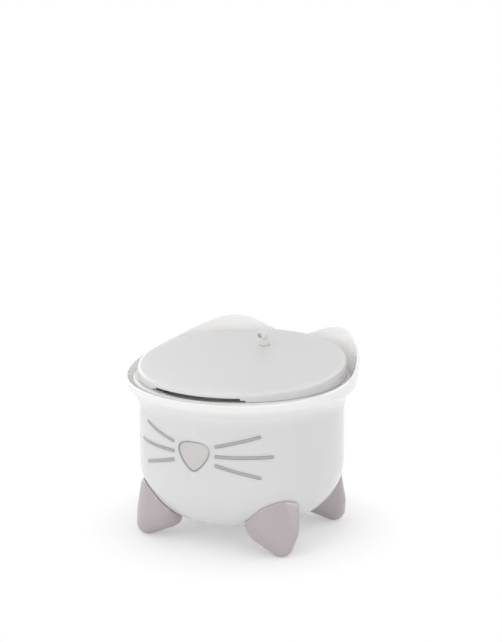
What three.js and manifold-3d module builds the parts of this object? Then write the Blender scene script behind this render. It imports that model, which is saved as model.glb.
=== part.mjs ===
// Pet water fountain with a cat face: bowl on four feet, tray with a filter, sloped lid, spout and pump.
// Millimetres, +Z up, nose towards -Y, floor at z = 0. Everything is drawn assembled.
import * as THREE from 'three';
import { mergeVertices } from 'three/addons/utils/BufferGeometryUtils.js';
import { ConvexGeometry } from 'three/addons/geometries/ConvexGeometry.js';
import Module from 'manifold-3d';

const wasm = await Module();
wasm.setup();

// Driving dimensions
const gap = 0.3;                 // clearance between neighbouring pieces

const bowlRadius = 107.5;        // body, outside
const bowlWall = 2.8;
const bowlBottomZ = 19.5;        // underside above the floor
const bowlCornerRadius = 58;     // rounded bottom
const flareStartZ = 134;         // where the wall starts to open out
const rimFlare = 14.5;            // rim beyond the body
const rimRadius = bowlRadius + rimFlare;
const rimZ = 167;                // rim height at the front
const rimWall = 2.8;
const flareShares = [            // outside of the flare: out to the rim, up to the rim
  [0.0769, 0.2424], [0.2615, 0.4545], [0.5615, 0.6121], [0.8077, 0.7455], [0.9462, 0.8667],
];
const ledgeZ = 159.2;            // seat of the tray
const ledgeInset = 0.3;          // inner edge of the ledge, inside the body's radius
const ledgeRun = 4.1;            // outer edge of the ledge, inside the rim's wall
const throatInset = 2.1;         // wall below the ledge, inside the body's radius
const throatZ = 150;
const rimInnerSlope = [0.9, 162.6];
const ledgeInnerRadius = bowlRadius - ledgeInset;
const ledgeOuterRadius = rimRadius - rimWall - ledgeRun;
const earApexZ = 202;
const earApexAngle = 30.5;       // degrees either side of the back
const earSaddleZ = 180;          // rim height between the ears
const earLean = 0.16;            // outward lean for each millimetre of ear above the saddle
const innerEarShares = [[6, 0.2045], [14, 0.5227], [22, 0.8455]];   // degrees, saddle to apex
const outerEarShares = [         // degrees from the back, front rim to apex
  [39, 0.9486], [48, 0.7886], [58, 0.5886], [70, 0.4], [85, 0.2343], [105, 0.0971], [130, 0.0229],
];
const rimWarpDepth = [7, 2];     // the warp starts and is full this far below the front rim
const ribNarrowWidth = 3;
const ribWideWidth = 16;
const ribReach = 5.9;            // from the wall's outside inwards
const narrowRibAngle = 110;      // from the nose, degrees
const wideRibAngle = 158;
const ribTopZ = 157;
const ribBottomZ = 74;
const panelReach = 4.5;
const panelHalfAngle = 17;       // raised panel inside the back wall, degrees
const panelTopZ = 138;
const slotWidth = 4.6;           // slot for the lead in the back rim
const slotBottomZ = 148.5;
const dockTopZ = 35.6;           // raised seat for the pump
const dockLength = 44;
const dockWidth = 36;
const ribInnerRadius = bowlRadius - ribReach;
const panelInnerRadius = bowlRadius - panelReach;

const noseWidth = 36;
const noseTopZ = 122.6;
const noseBottomZ = 90.6;
const noseShares = [             // right half, tip to top: out to half the width, up to the height
  [0.24, 0.045], [0.6, 0.235], [0.86, 0.44], [0.99, 0.63], [0.98, 0.78], [0.84, 0.89], [0.52, 0.975],
];
const noseSealWidth = 0.9;
const noseRecess = 0.8;
const noseReach = 12;            // depth of the cutting prism

const whiskerRadius = 1.6;       // half width of a whisker
const whiskerDepth = 1.1;        // half thickness
const whiskerSunk = 0.4;         // centre of the bar below the wall surface
const whiskerNames = ['upper', 'middle', 'lower'];
const whiskerAngles = [[12.3, 37.5], [12.2, 44.6], [12.3, 37.8]];   // both ends, degrees from the nose
const whiskerShares = [          // both ends, over the nose's top in nose heights
  [-0.1125, 0.2438], [-0.425, -0.4469], [-0.7062, -1.125],
];

const footAngle = 45;            // from the nose and from the back, degrees
const footWidth = 64;
const footDepth = 35.5;          // inwards from the body's outside
const footHeight = 61;
const footShares = [             // towards the side, inwards, height, radius
  [0.1094, 0.2, 0.1885, 0.2049],
  [0.2656, 0.1831, 0.3934, 0.1475],
  [0.3516, 0.2394, 0.6557, 0.0984],
  [0.3906, 0.2958, 0.8525, 0.0738],
  [0.2031, 0.169, 0.9344, 0.0656],
  [0.0156, 0.169, 0.9098, 0.0656],
  [-0.1797, 0.2563, 0.8197, 0.0656],
  [-0.3438, 0.4366, 0.7131, 0.0574],
  [-0.4531, 0.662, 0.5574, 0.0574],
  [-0.2812, 0.493, 0.4016, 0.0984],
  [-0.0938, 0.3239, 0.2623, 0.1639],
  [0.0312, 0.662, 0.5246, 0.4098],
  [0, 0.7746, 0.3607, 0.082],
];

const trayClearance = 1.4;       // tray inside the rim
const trayRadius = ledgeOuterRadius - trayClearance;
const traySkirt = 7;
const trayTopZ = ledgeZ + gap + traySkirt;
const trayWall = 2.4;
const trayEdgeRadius = 1.6;
const trayEdgeStart = 60;        // degrees
const dishRadius = 75;
const dishCentreY = -33;
const dishDepth = 4;
const pocketSize = 87;           // inside, square
const pocketCornerRadius = 12;
const pocketDepth = 26;          // below the dish floor
const pocketWall = 2.4;
const pocketClearance = 2.924;   // between the pocket's front corners and the bowl's wall
const pocketCornerX = pocketSize / 2 - pocketCornerRadius;
const pocketCornerReach = bowlRadius - bowlWall - pocketClearance - pocketWall - pocketCornerRadius;
const pocketCentreY = pocketCornerX - Math.sqrt(pocketCornerReach ** 2 - pocketCornerX ** 2);
const filterSeatDepth = 2.6;     // ledge that carries the filter's hem, below the dish floor
const seatWidth = 3.3;           // of that ledge
const seatWall = 1.5;
const drainWidth = 3.4;
const drainLength = 52;
const drainCount = 7;
const drainPitch = 9;
const drainRound = 0.1;          // short flat at a drain's ends
const centrePostRadius = 6.4;
const fingerHoleRadius = 11;
const fingerHoleX = 66;
const fingerHoleY = 40;
const riserShare = 0.48372093023255813;
const riserY = bowlRadius * riserShare;  // axis of pump outlet, tube, collar and spout, behind the middle
const stemRadius = 8;
const stemStepZ = 124.4;         // where the bore narrows above the tube
const stemLap = 6.4;             // of the stem over the tube's end
const stemBoreAbove = 5;
const stemBoreTaper = 1.2;
const collarRadius = 11;
const collarHeight = 9;
const flangeMargin = 1.4;        // deck under the cap, beyond its foot

const capRadius = 16.5;
const capBottomRadius = 19.2;
const capBottomHeight = 5;
const capStep = 0.4;
const capHeight = 14.8;
const capChamfer = 1;
const capFootChamfer = 0.8;
const capBoreRadius = 5.7;
const capBoreChamfer = 0.6;
const ringRadius = 12.1;         // middle of the ring's section
const ringSection = 1.5;
const ringReach = 14.3;          // middle of the ring beyond the cap
const ringCentreX = capRadius + ringReach;
const ringPinHeight = 12.3;      // above the tray
const ringPinRadius = 1.1;
const ringPinDepth = 3;          // into the cap

const lidInset = 4.9;            // lid inside the tray's edge
const lidRadius = trayRadius - lidInset;
const lidWall = 2.2;
const lidMiddleHeight = 16.1;    // top above the tray, on the axis
const lidSlope = 4.5;            // degrees, down towards the nose
const lidEdgeRadius = 3.4;
const lidEdgeStart = 68;         // degrees
const lidSkirtZone = 6;          // depth of the lid's edge that keeps the slope
const lidHoleRadius = 5.8;
const lidNotchHalfWidth = 48;
const lidNotchHeight = 3.8;
const lidNotchStepWidth = 53;
const lidNotchStepHeight = 1.9;

const sleeveRadius = 5.2;
const sleeveLength = 10.5;
const sleeveLift = 0.6;          // over the cap's inner floor
const sleeveBottomZ = trayTopZ + collarHeight + gap + sleeveLift;
const sleeveChamfer = [0.4, 0.5];
const grooveDepth = 0.6;
const sealStand = 0.15;          // ring past the sleeve
const sealRadius = 1;            // section of the sealing ring
const sealHeight = 2.6;          // above the sleeve's lower end
const spoutRadius = 4.6;
const spoutBore = 2.9;
const spoutRise = 12.6;          // straight part over the sleeve, to the bend's middle line
const spoutBend = 6.4;
const spoutReach = 3.4;
const spoutDip = 8;              // degrees, mouth turned down past level
const spigotRadius = 3.9;
const spigotLength = 7;
const spigotRoot = 1.5;          // spigot runs this far into the elbow

const tubeRadius = 5.9;
const tubeBore = 4.75;
const tubeLap = 8.2;             // over the pump's nozzle
const tubeTopGap = 0.4;
const tubeBeadRadius = 6.1;      // rolled lower end
const tubeBeadHeight = 1.6;
const tubeBeadTaper = 0.4;

const pumpLength = 50;
const pumpWidth = 42;
const pumpHeight = 30;
const pumpTurn = 47;             // degrees, from the nose's side
const pumpBottomZ = dockTopZ + gap;
const pumpCorner = 4;
const pumpEdge = 1.6;
const nozzleX = 11.5;            // from the pump's middle, away from its intake end
const nozzleRadius = 4.4;
const nozzleBore = 2.9;
const nozzleLength = 20.3;
const tubeBottomZ = pumpBottomZ + pumpHeight + nozzleLength - tubeLap;
const tubeTopZ = stemStepZ - tubeTopGap;
const stemBottomZ = stemStepZ - stemLap;
const nozzleRingRadius = 5.4;
const nozzleRingHeight = 1.4;
const nozzleRingTaper = 0.4;
const nozzleTip = [0.5, 1.6];    // narrower at the tip, over this length
const coverThickness = 2.7;
const pumpWall = 2;
const plenumDepth = 11;          // water space under the pump's top
const plenumFloor = 1.6;
const plenumBottom = pumpHeight - plenumDepth;
const motorTop = plenumBottom - plenumFloor;
const motorFrontX = -10.5;
const wellRadius = 6.8;
const wellWall = 1.3;
const wellBottom = 4;
const wellLap = 0.5;             // well's wall runs into the floor over it
const bossWall = 1.2;            // around the shaft
const bossHeight = 1.2;
const baseThickness = 2;
const baseLip = 1;               // base let into the pump's walls
const intakeY = [-11, 14];
const intakeLift = 3.9;          // over the light
const intakeDrop = 8.6;          // under the pump's top
const intakeBars = 4;
const intakeBarWidth = 1.7;
const ledY = 5;
const ledZ = 6.6;
const ledRadius = 1.9;
const intakeZ = [ledZ + ledRadius + intakeLift, pumpHeight - intakeDrop];
const boardSize = [1.2, 9, 6];   // through the face, across, up
const coreThickness = 4.6;
const coreBottom = 5.2;
const coreTopCover = 3.2;        // winding and slack over it
const coreLegEnd = 1;            // legs stop short of the well's far side
const coilBulk = 3.4;            // winding around the core
const magnetRadius = 6.2;
const magnetTopInset = 1.1;      // below the plenum's floor
const shaftRadius = 1;
const impellerRadius = 9.4;
const impellerHub = 3;
const impellerHeight = 6.4;
const impellerDisc = 1.2;
const bladeCount = 6;
const bladeThickness = 1.1;
const bladeRoot = 0.5;           // blades run into the hub
const glandX = -8;
const glandZ = 12;
const glandRadius = 3.3;
const glandLength = 6;
const glandNeck = 1;             // narrower in the wall
const glandFlange = 2;
const glandTaper = 0.9;

const leadRadius = 1.7;
const coilRadius = 20;
const coilLoops = 8;
const coilPitch = 4.1;
const coilCentre = [-62, 158];
const floorLift = 0.25;          // lead clear of the floor
const leadSlack = [0.5, 1.1, 3.75, 3];   // off the panel, over the slot, to the runs' joint, inside the rim
const leadStep = 8.5;            // between the rings of a straight run
const plugLength = 26;
const plugWidth = 15;
const plugThickness = 8;
const plugShellLength = 12;
const plugShellWidth = 12;
const plugShellThickness = 4.5;
const plugShellWall = 0.5;
const plugReliefLength = 7;
const plugReliefRadius = 2.8;
const plugCorner = 2.6;
const plugEdge = 1.2;
const plugPlace = [-58, 10];     // from the coil's middle, across and back

const filmLap = 3;               // film over the ledge around the pocket
const filmSize = pocketSize + 2 * filmLap;
const filmThickness = 0.8;
const filmCornerRadius = 11.7;
const filmHoleRadius = 8;
const podDepth = 8.6;
const podMargin = 5.5;            // film's hem around the pods
const podSeam = 4;               // between two pods
const podSize = filmSize / 2 - podMargin - podSeam / 2;
const podCornerRadius = 8;
const podPitch = (podSize + podSeam) / 2;
const podTaper = 0.86;

// Faces around a circle
const shellSteps = 50;
const roundSteps = 48;
const shellArcSteps = 5;
const lipSteps = 4;
const midSteps = 24;
const smallSteps = 16;
const shaftSteps = 16;
const elbowSteps = 9;

// Helpers
const deg = (angle) => (angle * Math.PI) / 180;

function plain(geometry) {
  const copy = geometry.clone();
  copy.deleteAttribute('normal');
  copy.deleteAttribute('uv');
  const merged = mergeVertices(copy, 1e-4);
  const source = merged.index.array;
  const kept = [];
  for (let i = 0; i < source.length; i += 3) {
    const [a, b, c] = [source[i], source[i + 1], source[i + 2]];
    if (a !== b && b !== c && c !== a) kept.push(a, b, c);
  }
  merged.setIndex(kept);
  return merged;
}

function volume(geometry) {
  const p = geometry.attributes.position;
  const t = geometry.index.array;
  const [a, b, c] = [new THREE.Vector3(), new THREE.Vector3(), new THREE.Vector3()];
  let sum = 0;
  for (let i = 0; i < t.length; i += 3) {
    a.fromBufferAttribute(p, t[i]);
    b.fromBufferAttribute(p, t[i + 1]);
    c.fromBufferAttribute(p, t[i + 2]);
    sum += a.dot(b.cross(c)) / 6;
  }
  return sum;
}

// One body with its faces outwards.
function body(geometry) {
  const clean = plain(geometry);
  if (volume(clean) < 0) {
    const t = clean.index.array;
    for (let i = 0; i < t.length; i += 3) [t[i], t[i + 1]] = [t[i + 1], t[i]];
  }
  return clean;
}

function toManifold(geometry) {
  const clean = body(geometry);
  return new wasm.Manifold(new wasm.Mesh({
    numProp: 3,
    vertProperties: new Float32Array(clean.attributes.position.array),
    triVerts: new Uint32Array(clean.index.array),
  }));
}

function fromManifold(solid) {
  const mesh = solid.getMesh();
  const geometry = new THREE.BufferGeometry();
  geometry.setAttribute('position', new THREE.BufferAttribute(new Float32Array(mesh.vertProperties), 3));
  geometry.setIndex(Array.from(mesh.triVerts));
  return geometry;
}

function join(first, ...others) {
  let solid = toManifold(first);
  for (const other of others) solid = solid.add(toManifold(other));
  return fromManifold(solid);
}

function cut(first, ...others) {
  let solid = toManifold(first);
  for (const other of others) solid = solid.subtract(toManifold(other));
  return fromManifold(solid);
}

function common(first, ...others) {
  let solid = toManifold(first);
  for (const other of others) solid = solid.intersect(toManifold(other));
  return fromManifold(solid);
}

// A closed outline of [radius, height] pairs turned around the Z axis.
function turned(outline, steps = roundSteps) {
  const points = outline.map(([radius, height]) => new THREE.Vector2(radius, height));
  points.push(points[0].clone());
  return body(new THREE.LatheGeometry(points, steps).rotateX(Math.PI / 2));
}

function arc(centreR, centreZ, radius, from, to, steps) {
  return Array.from({ length: steps + 1 }, (_, i) => {
    const angle = deg(from + ((to - from) * i) / steps);
    return [centreR + radius * Math.cos(angle), centreZ + radius * Math.sin(angle)];
  });
}

function rod(radius, bottom, top, steps = midSteps) {
  return turned([[0, bottom], [radius, bottom], [radius, top], [0, top]], steps);
}

function pipe(outer, inner, bottom, top, steps = midSteps) {
  return turned([[inner, bottom], [outer, bottom], [outer, top], [inner, top]], steps);
}

function block(x0, x1, y0, y1, z0, z1) {
  return new THREE.BoxGeometry(x1 - x0, y1 - y0, z1 - z0)
    .translate((x0 + x1) / 2, (y0 + y1) / 2, (z0 + z1) / 2);
}

function roundedShape(width, height, radius) {
  const [x, y] = [width / 2, height / 2];
  const shape = new THREE.Shape();
  shape.moveTo(-x + radius, -y);
  shape.lineTo(x - radius, -y);
  shape.absarc(x - radius, -y + radius, radius, -Math.PI / 2, 0);
  shape.lineTo(x, y - radius);
  shape.absarc(x - radius, y - radius, radius, 0, Math.PI / 2);
  shape.lineTo(-x + radius, y);
  shape.absarc(-x + radius, y - radius, radius, Math.PI / 2, Math.PI);
  shape.lineTo(-x, -y + radius);
  shape.absarc(-x + radius, -y + radius, radius, Math.PI, Math.PI * 1.5);
  return shape;
}

// A rounded square block standing on z = bottom.
function slab(width, length, radius, bottom, top, curveSegments = 4) {
  return body(new THREE.ExtrudeGeometry(roundedShape(width, length, radius), {
    depth: top - bottom, bevelEnabled: false, curveSegments,
  }).translate(0, 0, bottom));
}

function softBlock(width, length, radius, bottom, top, edge) {
  return body(new THREE.ExtrudeGeometry(
    roundedShape(width - 2 * edge, length - 2 * edge, radius - edge),
    { depth: top - bottom - 2 * edge, bevelEnabled: true, bevelThickness: edge, bevelSize: edge,
      bevelSegments: 2, curveSegments: 3 },
  ).translate(0, 0, bottom + edge));
}

// Moves each vertex by a rule.
function reshaped(geometry, rule) {
  const p = geometry.attributes.position;
  const v = new THREE.Vector3();
  for (let i = 0; i < p.count; i += 1) {
    v.fromBufferAttribute(p, i);
    rule(v);
    p.setXYZ(i, v.x, v.y, v.z);
  }
  return geometry;
}

function smooth(value, low, high) {
  const t = Math.min(1, Math.max(0, (value - low) / (high - low)));
  return t * t * (3 - 2 * t);
}

// Round tube along a smooth line through the points.
function hose(points, radius, spacing, sides) {
  const curve = new THREE.CatmullRomCurve3(points.map((p) => new THREE.Vector3(...p)), false, 'centripetal');
  const round = new THREE.Shape();
  round.absarc(0, 0, radius, 0, Math.PI * 2);
  return body(new THREE.ExtrudeGeometry(round, {
    steps: Math.round(curve.getLength() / spacing), curveSegments: sides / 2, extrudePath: curve,
  }));
}

const group = new THREE.Group();
group.name = 'pet_water_fountain';

function addTo(parent, name, geometry, color, roughness, metalness = 0, extra = {}) {
  const material = new THREE.MeshStandardMaterial({ color, roughness, metalness, ...extra });
  const mesh = new THREE.Mesh(body(geometry), material);
  mesh.name = name;
  parent.add(mesh);
  return mesh;
}

function assembly(name, x = 0, y = 0, z = 0) {
  const child = new THREE.Group();
  child.name = name;
  child.position.set(x, y, z);
  group.add(child);
  return child;
}

const white = '#f4f1ee';
const softWhite = '#eceae8';
const taupe = '#bdb2b6';
const smoke = '#c9c6c6';
const whiskerGrey = '#aba7a9';

// Bowl
const cornerCentreZ = bowlBottomZ + bowlCornerRadius;
const cornerCentreR = bowlRadius - bowlCornerRadius;

function bowlOutside(offset, top) {
  return turned([
    [0, bowlBottomZ - offset],
    ...arc(cornerCentreR, cornerCentreZ, bowlCornerRadius + offset, -90, 0, shellArcSteps),
    [bowlRadius + offset, top],
    [0, top],
  ], shellSteps);
}

function rimHeight(fromBack) {
  const a = Math.abs(fromBack);
  const knots = [
    [0, earSaddleZ],
    ...innerEarShares.map(([angle, share]) => [angle, earSaddleZ + share * (earApexZ - earSaddleZ)]),
    [earApexAngle, earApexZ],
    ...outerEarShares.map(([angle, share]) => [angle, rimZ + share * (earApexZ - rimZ)]),
    [150, rimZ], [180, rimZ],
  ];
  const k = Math.max(1, knots.findIndex(([angle]) => angle >= a));
  const at = (i) => knots[Math.min(knots.length - 1, Math.max(0, i))];
  const [[a0, z0], [a1, z1]] = [at(k - 1), at(k)];
  const t = (a - a0) / (a1 - a0);
  const slope = (i) => (k - 1 + i === 0 || k - 1 + i === knots.length - 1 ? 0
    : (at(k + i)[1] - at(k - 2 + i)[1]) / (at(k + i)[0] - at(k - 2 + i)[0])) * (a1 - a0);
  const [m0, m1] = [slope(0), slope(1)];
  return (2 * t ** 3 - 3 * t ** 2 + 1) * z0 + (t ** 3 - 2 * t ** 2 + t) * m0
    + (-2 * t ** 3 + 3 * t ** 2) * z1 + (t ** 3 - t ** 2) * m1;
}

const innerCorner = bowlCornerRadius - bowlWall;
const lipRadius = rimWall / 2;
const shellOutline = [
  [0, bowlBottomZ],
  ...arc(cornerCentreR, cornerCentreZ, bowlCornerRadius, -90, 0, shellArcSteps),
  [bowlRadius, flareStartZ],
  ...flareShares.map(([out, up]) => [bowlRadius + out * rimFlare, flareStartZ + up * (rimZ - flareStartZ)]),
  ...arc(rimRadius - lipRadius, rimZ - lipRadius, lipRadius, 0, 180, lipSteps),
  [rimRadius - rimWall - rimInnerSlope[0], rimInnerSlope[1]],
  [ledgeOuterRadius, ledgeZ], [ledgeInnerRadius, ledgeZ],
  [bowlRadius - throatInset, throatZ],
  [bowlRadius - bowlWall, flareStartZ],
  ...arc(cornerCentreR, cornerCentreZ, innerCorner, 0, -90, shellArcSteps),
  [0, bowlBottomZ + bowlWall],
];
const [rimWarpLow, rimWarpHigh] = rimWarpDepth.map((depth) => rimZ - depth);
const shell = reshaped(turned(shellOutline, shellSteps), (v) => {
  const angle = THREE.MathUtils.radToDeg(Math.atan2(v.x, v.y));
  const lift = (rimHeight(angle) - rimZ) * smooth(v.z, rimWarpLow, rimWarpHigh);
  const radius = Math.hypot(v.x, v.y);
  const lean = earLean * Math.max(0, lift - (earSaddleZ - rimZ) * smooth(v.z, rimWarpLow, rimWarpHigh));
  const scale = radius > 0 ? (radius + lean) / radius : 1;
  v.set(v.x * scale, v.y * scale, v.z + lift);
});

// An upright bar on the inside of the wall.
function wallRib(angleFromNose, width, innerRadius, bottom, top) {
  const rib = block(-width / 2, width / 2, innerRadius, bowlRadius - bowlWall / 2, bottom, top);
  return common(rib.rotateZ(deg(180 + angleFromNose)), bowlOutside(-bowlWall / 2, top));
}

// Rounded shield, its outline moved inwards by shrink.
function noseShape(shrink) {
  const height = noseTopZ - noseBottomZ;
  const right = noseShares.map(([out, up]) => [(out * noseWidth) / 2, noseBottomZ + up * height]);
  const left = right.map(([x, z]) => [-x, z]).reverse();
  const line = [[0, noseBottomZ], ...right, [0, noseTopZ], ...left].map(([x, z]) => new THREE.Vector2(x, z));
  const count = line.length;
  return new THREE.Shape(line.map((here, i) => {
    const along = line[(i + 1) % count].clone().sub(line[(i + count - 1) % count]).normalize();
    return new THREE.Vector2(here.x - along.y * shrink, here.y + along.x * shrink);
  }));
}

function nosePrism(shrink) {
  return body(new THREE.ExtrudeGeometry(noseShape(shrink), {
    depth: noseReach, bevelEnabled: false,
  }).rotateX(Math.PI / 2).translate(0, -bowlRadius + noseReach, 0));
}

function wallRing(inner, outer) {
  return pipe(outer, inner, noseBottomZ - noseReach, noseTopZ + noseReach, roundSteps);
}

function whiskerBar(which, side, grow) {
  const [angle0, angle1] = whiskerAngles[which];
  const [z0, z1] = whiskerShares[which].map((share) => noseTopZ + share * (noseTopZ - noseBottomZ));
  const run = deg(angle1 - angle0) * bowlRadius;
  const rise = z1 - z0;
  const length = Math.hypot(run, rise);
  const bar = new THREE.CapsuleGeometry(whiskerRadius + grow, length - 2 * whiskerRadius, 2, 6, 6);
  return body(reshaped(bar, (v) => {
    const along = v.y / length + 0.5;
    const s = deg(angle0) * bowlRadius + run * along - (v.x * rise) / length;
    const z = z0 + rise * along + (v.x * run) / length;
    const depth = (v.z * (whiskerDepth + grow)) / (whiskerRadius + grow);
    const radius = bowlRadius - whiskerSunk + depth;
    v.set(side * radius * Math.sin(s / bowlRadius), -radius * Math.cos(s / bowlRadius), z);
  }));
}

const pumpFrame = new THREE.Matrix4()
  .makeTranslation(-nozzleX * Math.cos(deg(pumpTurn)), riserY - nozzleX * Math.sin(deg(pumpTurn)), 0)
  .multiply(new THREE.Matrix4().makeRotationZ(deg(pumpTurn)));
const dock = common(
  slab(dockLength, dockWidth, pumpCorner, bowlBottomZ + bowlWall / 2, dockTopZ).applyMatrix4(pumpFrame),
  bowlOutside(-bowlWall / 2, dockTopZ),
);
const panel = common(
  pipe(bowlRadius - bowlWall / 2, panelInnerRadius, ribBottomZ, panelTopZ, roundSteps),
  block(-panelInnerRadius * Math.sin(deg(panelHalfAngle)), panelInnerRadius * Math.sin(deg(panelHalfAngle)),
    0, bowlRadius, ribBottomZ, panelTopZ),
);
const leadSlot = block(-slotWidth / 2, slotWidth / 2, panelInnerRadius - bowlWall, rimRadius + traySkirt,
  slotBottomZ, earApexZ);
const sides = [['left', -1], ['right', 1]];
const whiskerGrooves = sides.flatMap(([, side]) => whiskerNames.map((_, i) => whiskerBar(i, side, gap)));
const bowlSolid = cut(
  join(shell, dock, panel,
    ...[-1, 1].flatMap((side) => [
      wallRib(side * narrowRibAngle, ribNarrowWidth, ribInnerRadius, ribBottomZ, ribTopZ),
      wallRib(side * wideRibAngle, ribWideWidth, ribInnerRadius, ribBottomZ, ribTopZ),
    ])),
  leadSlot, nosePrism(0), ...whiskerGrooves,
);
addTo(group, 'bowl_shell', bowlSolid, white, 0.25);

addTo(group, 'nose_seal', common(
  cut(nosePrism(gap), nosePrism(gap + noseSealWidth)),
  wallRing(bowlRadius - bowlWall, bowlRadius - gap),
), '#8f8a8c', 0.6);
addTo(group, 'nose_window', common(
  nosePrism(2 * gap + noseSealWidth),
  wallRing(bowlRadius - bowlWall - noseRecess, bowlRadius - noseRecess),
), smoke, 0.15, 0, { transparent: true, opacity: 0.8 });

for (const [sideName, side] of sides) {
  whiskerNames.forEach((name, i) => {
    addTo(group, `whisker_${sideName}_${name}`, whiskerBar(i, side, 0), whiskerGrey, 0.35);
  });
}

// Feet: one rounded form, turned and mirrored to its four places
const footBody = (() => {
  const points = [];
  for (const [sideShare, inShare, heightShare, radiusShare] of footShares) {
    const [across, out] = [sideShare * footWidth, bowlRadius - inShare * footDepth];
    const [height, radius] = [heightShare * footHeight, radiusShare * footHeight];
    const ball = plain(new THREE.SphereGeometry(radius, 10, 6)).attributes.position;
    for (let i = 0; i < ball.count; i += 1) {
      points.push(new THREE.Vector3(ball.getX(i) + across, -ball.getY(i) - out, ball.getZ(i) + height));
    }
  }
  const hull = body(new ConvexGeometry(points));
  return cut(hull, bowlOutside(gap, earApexZ), rod(bowlRadius - footDepth, -gap, earApexZ),
    rod(rimRadius, -bowlBottomZ, 0));
})();
const footPlaces = [
  ['foot_front_right', 1, 1], ['foot_front_left', -1, 1],
  ['foot_rear_right', 1, -1], ['foot_rear_left', -1, -1],
];
for (const [name, sideX, sideY] of footPlaces) {
  const foot = footBody.clone().rotateZ(deg(footAngle)).scale(sideX, sideY, 1);
  addTo(group, name, foot, taupe, 0.55);
}

// Tray
const tray = assembly('tray', 0, 0, trayTopZ);
const trayPan = turned([
  [0, 0], [trayRadius - trayEdgeRadius, 0],
  ...arc(trayRadius - trayEdgeRadius, -trayEdgeRadius, trayEdgeRadius, trayEdgeStart, 0, 2),
  [trayRadius, -traySkirt], [trayRadius - trayWall, -traySkirt],
  [trayRadius - trayWall, -trayWall], [0, -trayWall],
]);
const dishFloor = -dishDepth;
const pocketFloor = dishFloor - pocketDepth;
const pocketOuter = pocketSize + 2 * pocketWall;
const atPocket = (geometry) => geometry.translate(0, pocketCentreY, 0);
const seatSize = pocketSize + 2 * seatWidth;
const seatFloor = dishFloor - filterSeatDepth;
const drains = Array.from({ length: drainCount }, (_, i) => atPocket(slab(
  drainWidth, drainLength, drainWidth / 2 - drainRound, pocketFloor - pocketWall - gap, pocketFloor + gap, 1,
).translate((i - (drainCount - 1) / 2) * drainPitch, 0, 0))).filter((_, i) => i !== (drainCount - 1) / 2);
const atRiser = (geometry) => geometry.translate(0, riserY, 0);
const traySolid = join(
  cut(
    join(
      trayPan,
      common(
        rod(dishRadius + trayWall, -dishDepth - trayWall, -gap, roundSteps).translate(0, dishCentreY, 0),
        rod(trayRadius - trayWall / 2, -traySkirt, 0, roundSteps),
      ),
      atPocket(slab(pocketOuter, pocketOuter, pocketCornerRadius + pocketWall,
        pocketFloor - pocketWall, dishFloor)),
      atPocket(slab(seatSize + 2 * seatWall, seatSize + 2 * seatWall, pocketCornerRadius + seatWall,
        seatFloor - pocketWall, dishFloor)),
    ),
    common(
      rod(dishRadius, dishFloor, pocketWall, roundSteps).translate(0, dishCentreY, 0),
      rod(trayRadius - 2 * trayWall, -traySkirt, pocketWall * 2, roundSteps),
    ),
    atPocket(slab(pocketSize, pocketSize, pocketCornerRadius, pocketFloor, pocketWall)),
    atPocket(slab(seatSize, seatSize, pocketCornerRadius, seatFloor, pocketWall)),
    ...drains,
    ...[-1, 1].map((side) => rod(fingerHoleRadius, -traySkirt, pocketWall)
      .translate(side * fingerHoleX, fingerHoleY, 0)),
    atRiser(turned([
      [0, -2 * traySkirt], [capBottomRadius + gap, -2 * traySkirt], [capBottomRadius + gap, dishFloor],
      [capBottomRadius + flangeMargin + gap, dishFloor], [capBottomRadius + flangeMargin + gap, pocketWall],
      [0, pocketWall],
    ], midSteps)),
  ),
  atPocket(pipe(centrePostRadius, centrePostRadius - pocketWall, pocketFloor - gap,
    seatFloor, smallSteps)),
);
addTo(tray, 'tray_deck', traySolid, white, 0.3);

// Riser socket, let into the deck: takes the tube below and carries the cap above
addTo(tray, 'riser_socket', atRiser(turned([
  [tubeRadius + gap, stemBottomZ - trayTopZ], [stemRadius, stemBottomZ - trayTopZ],
  [stemRadius, dishFloor - trayWall], [capBottomRadius, dishFloor - trayWall],
  [capBottomRadius, dishFloor + gap], [capBottomRadius + flangeMargin, dishFloor + gap],
  [capBottomRadius + flangeMargin, 0], [collarRadius, 0],
  [collarRadius, collarHeight], [stemBoreAbove, collarHeight],
  [stemBoreAbove, stemStepZ - trayTopZ + stemBoreTaper], [tubeRadius + gap, stemStepZ - trayTopZ],
], midSteps)), white, 0.3);

// Cap on the collar, with its pull ring lying flat
const cap = assembly('collar_cap_group', 0, riserY, trayTopZ);
const pinHole = rod(ringPinRadius + gap, 0, ringPinDepth + 2 * gap, smallSteps)
  .rotateY(Math.PI / 2).translate(capRadius - ringPinDepth - gap, 0, ringPinHeight);
addTo(cap, 'collar_cap', cut(turned([
  [collarRadius + gap, gap], [capBottomRadius - capFootChamfer, gap], [capBottomRadius, gap + capFootChamfer],
  [capBottomRadius, capBottomHeight - capChamfer], [capBottomRadius - capChamfer, capBottomHeight],
  [capRadius, capBottomHeight + capStep], [capRadius, capHeight - capChamfer],
  [capRadius - capChamfer, capHeight],
  [capBoreRadius + capBoreChamfer, capHeight], [capBoreRadius, capHeight - capBoreChamfer],
  [capBoreRadius, collarHeight + gap], [collarRadius + gap, collarHeight + gap],
], midSteps), pinHole), softWhite, 0.5);

const ring = assembly('pull_ring_group', 0, riserY, trayTopZ + ringPinHeight);
const hoop = new THREE.TorusGeometry(ringRadius, ringSection, 8, 20).translate(ringCentreX, 0, 0);
const pinEnd = ringCentreX - ringRadius;
const pin = rod(ringPinRadius, 0, pinEnd - capRadius + ringPinDepth, smallSteps)
  .rotateY(Math.PI / 2).translate(capRadius - ringPinDepth, 0, 0);
addTo(ring, 'pull_ring', join(hoop, pin), softWhite, 0.5);

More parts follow.
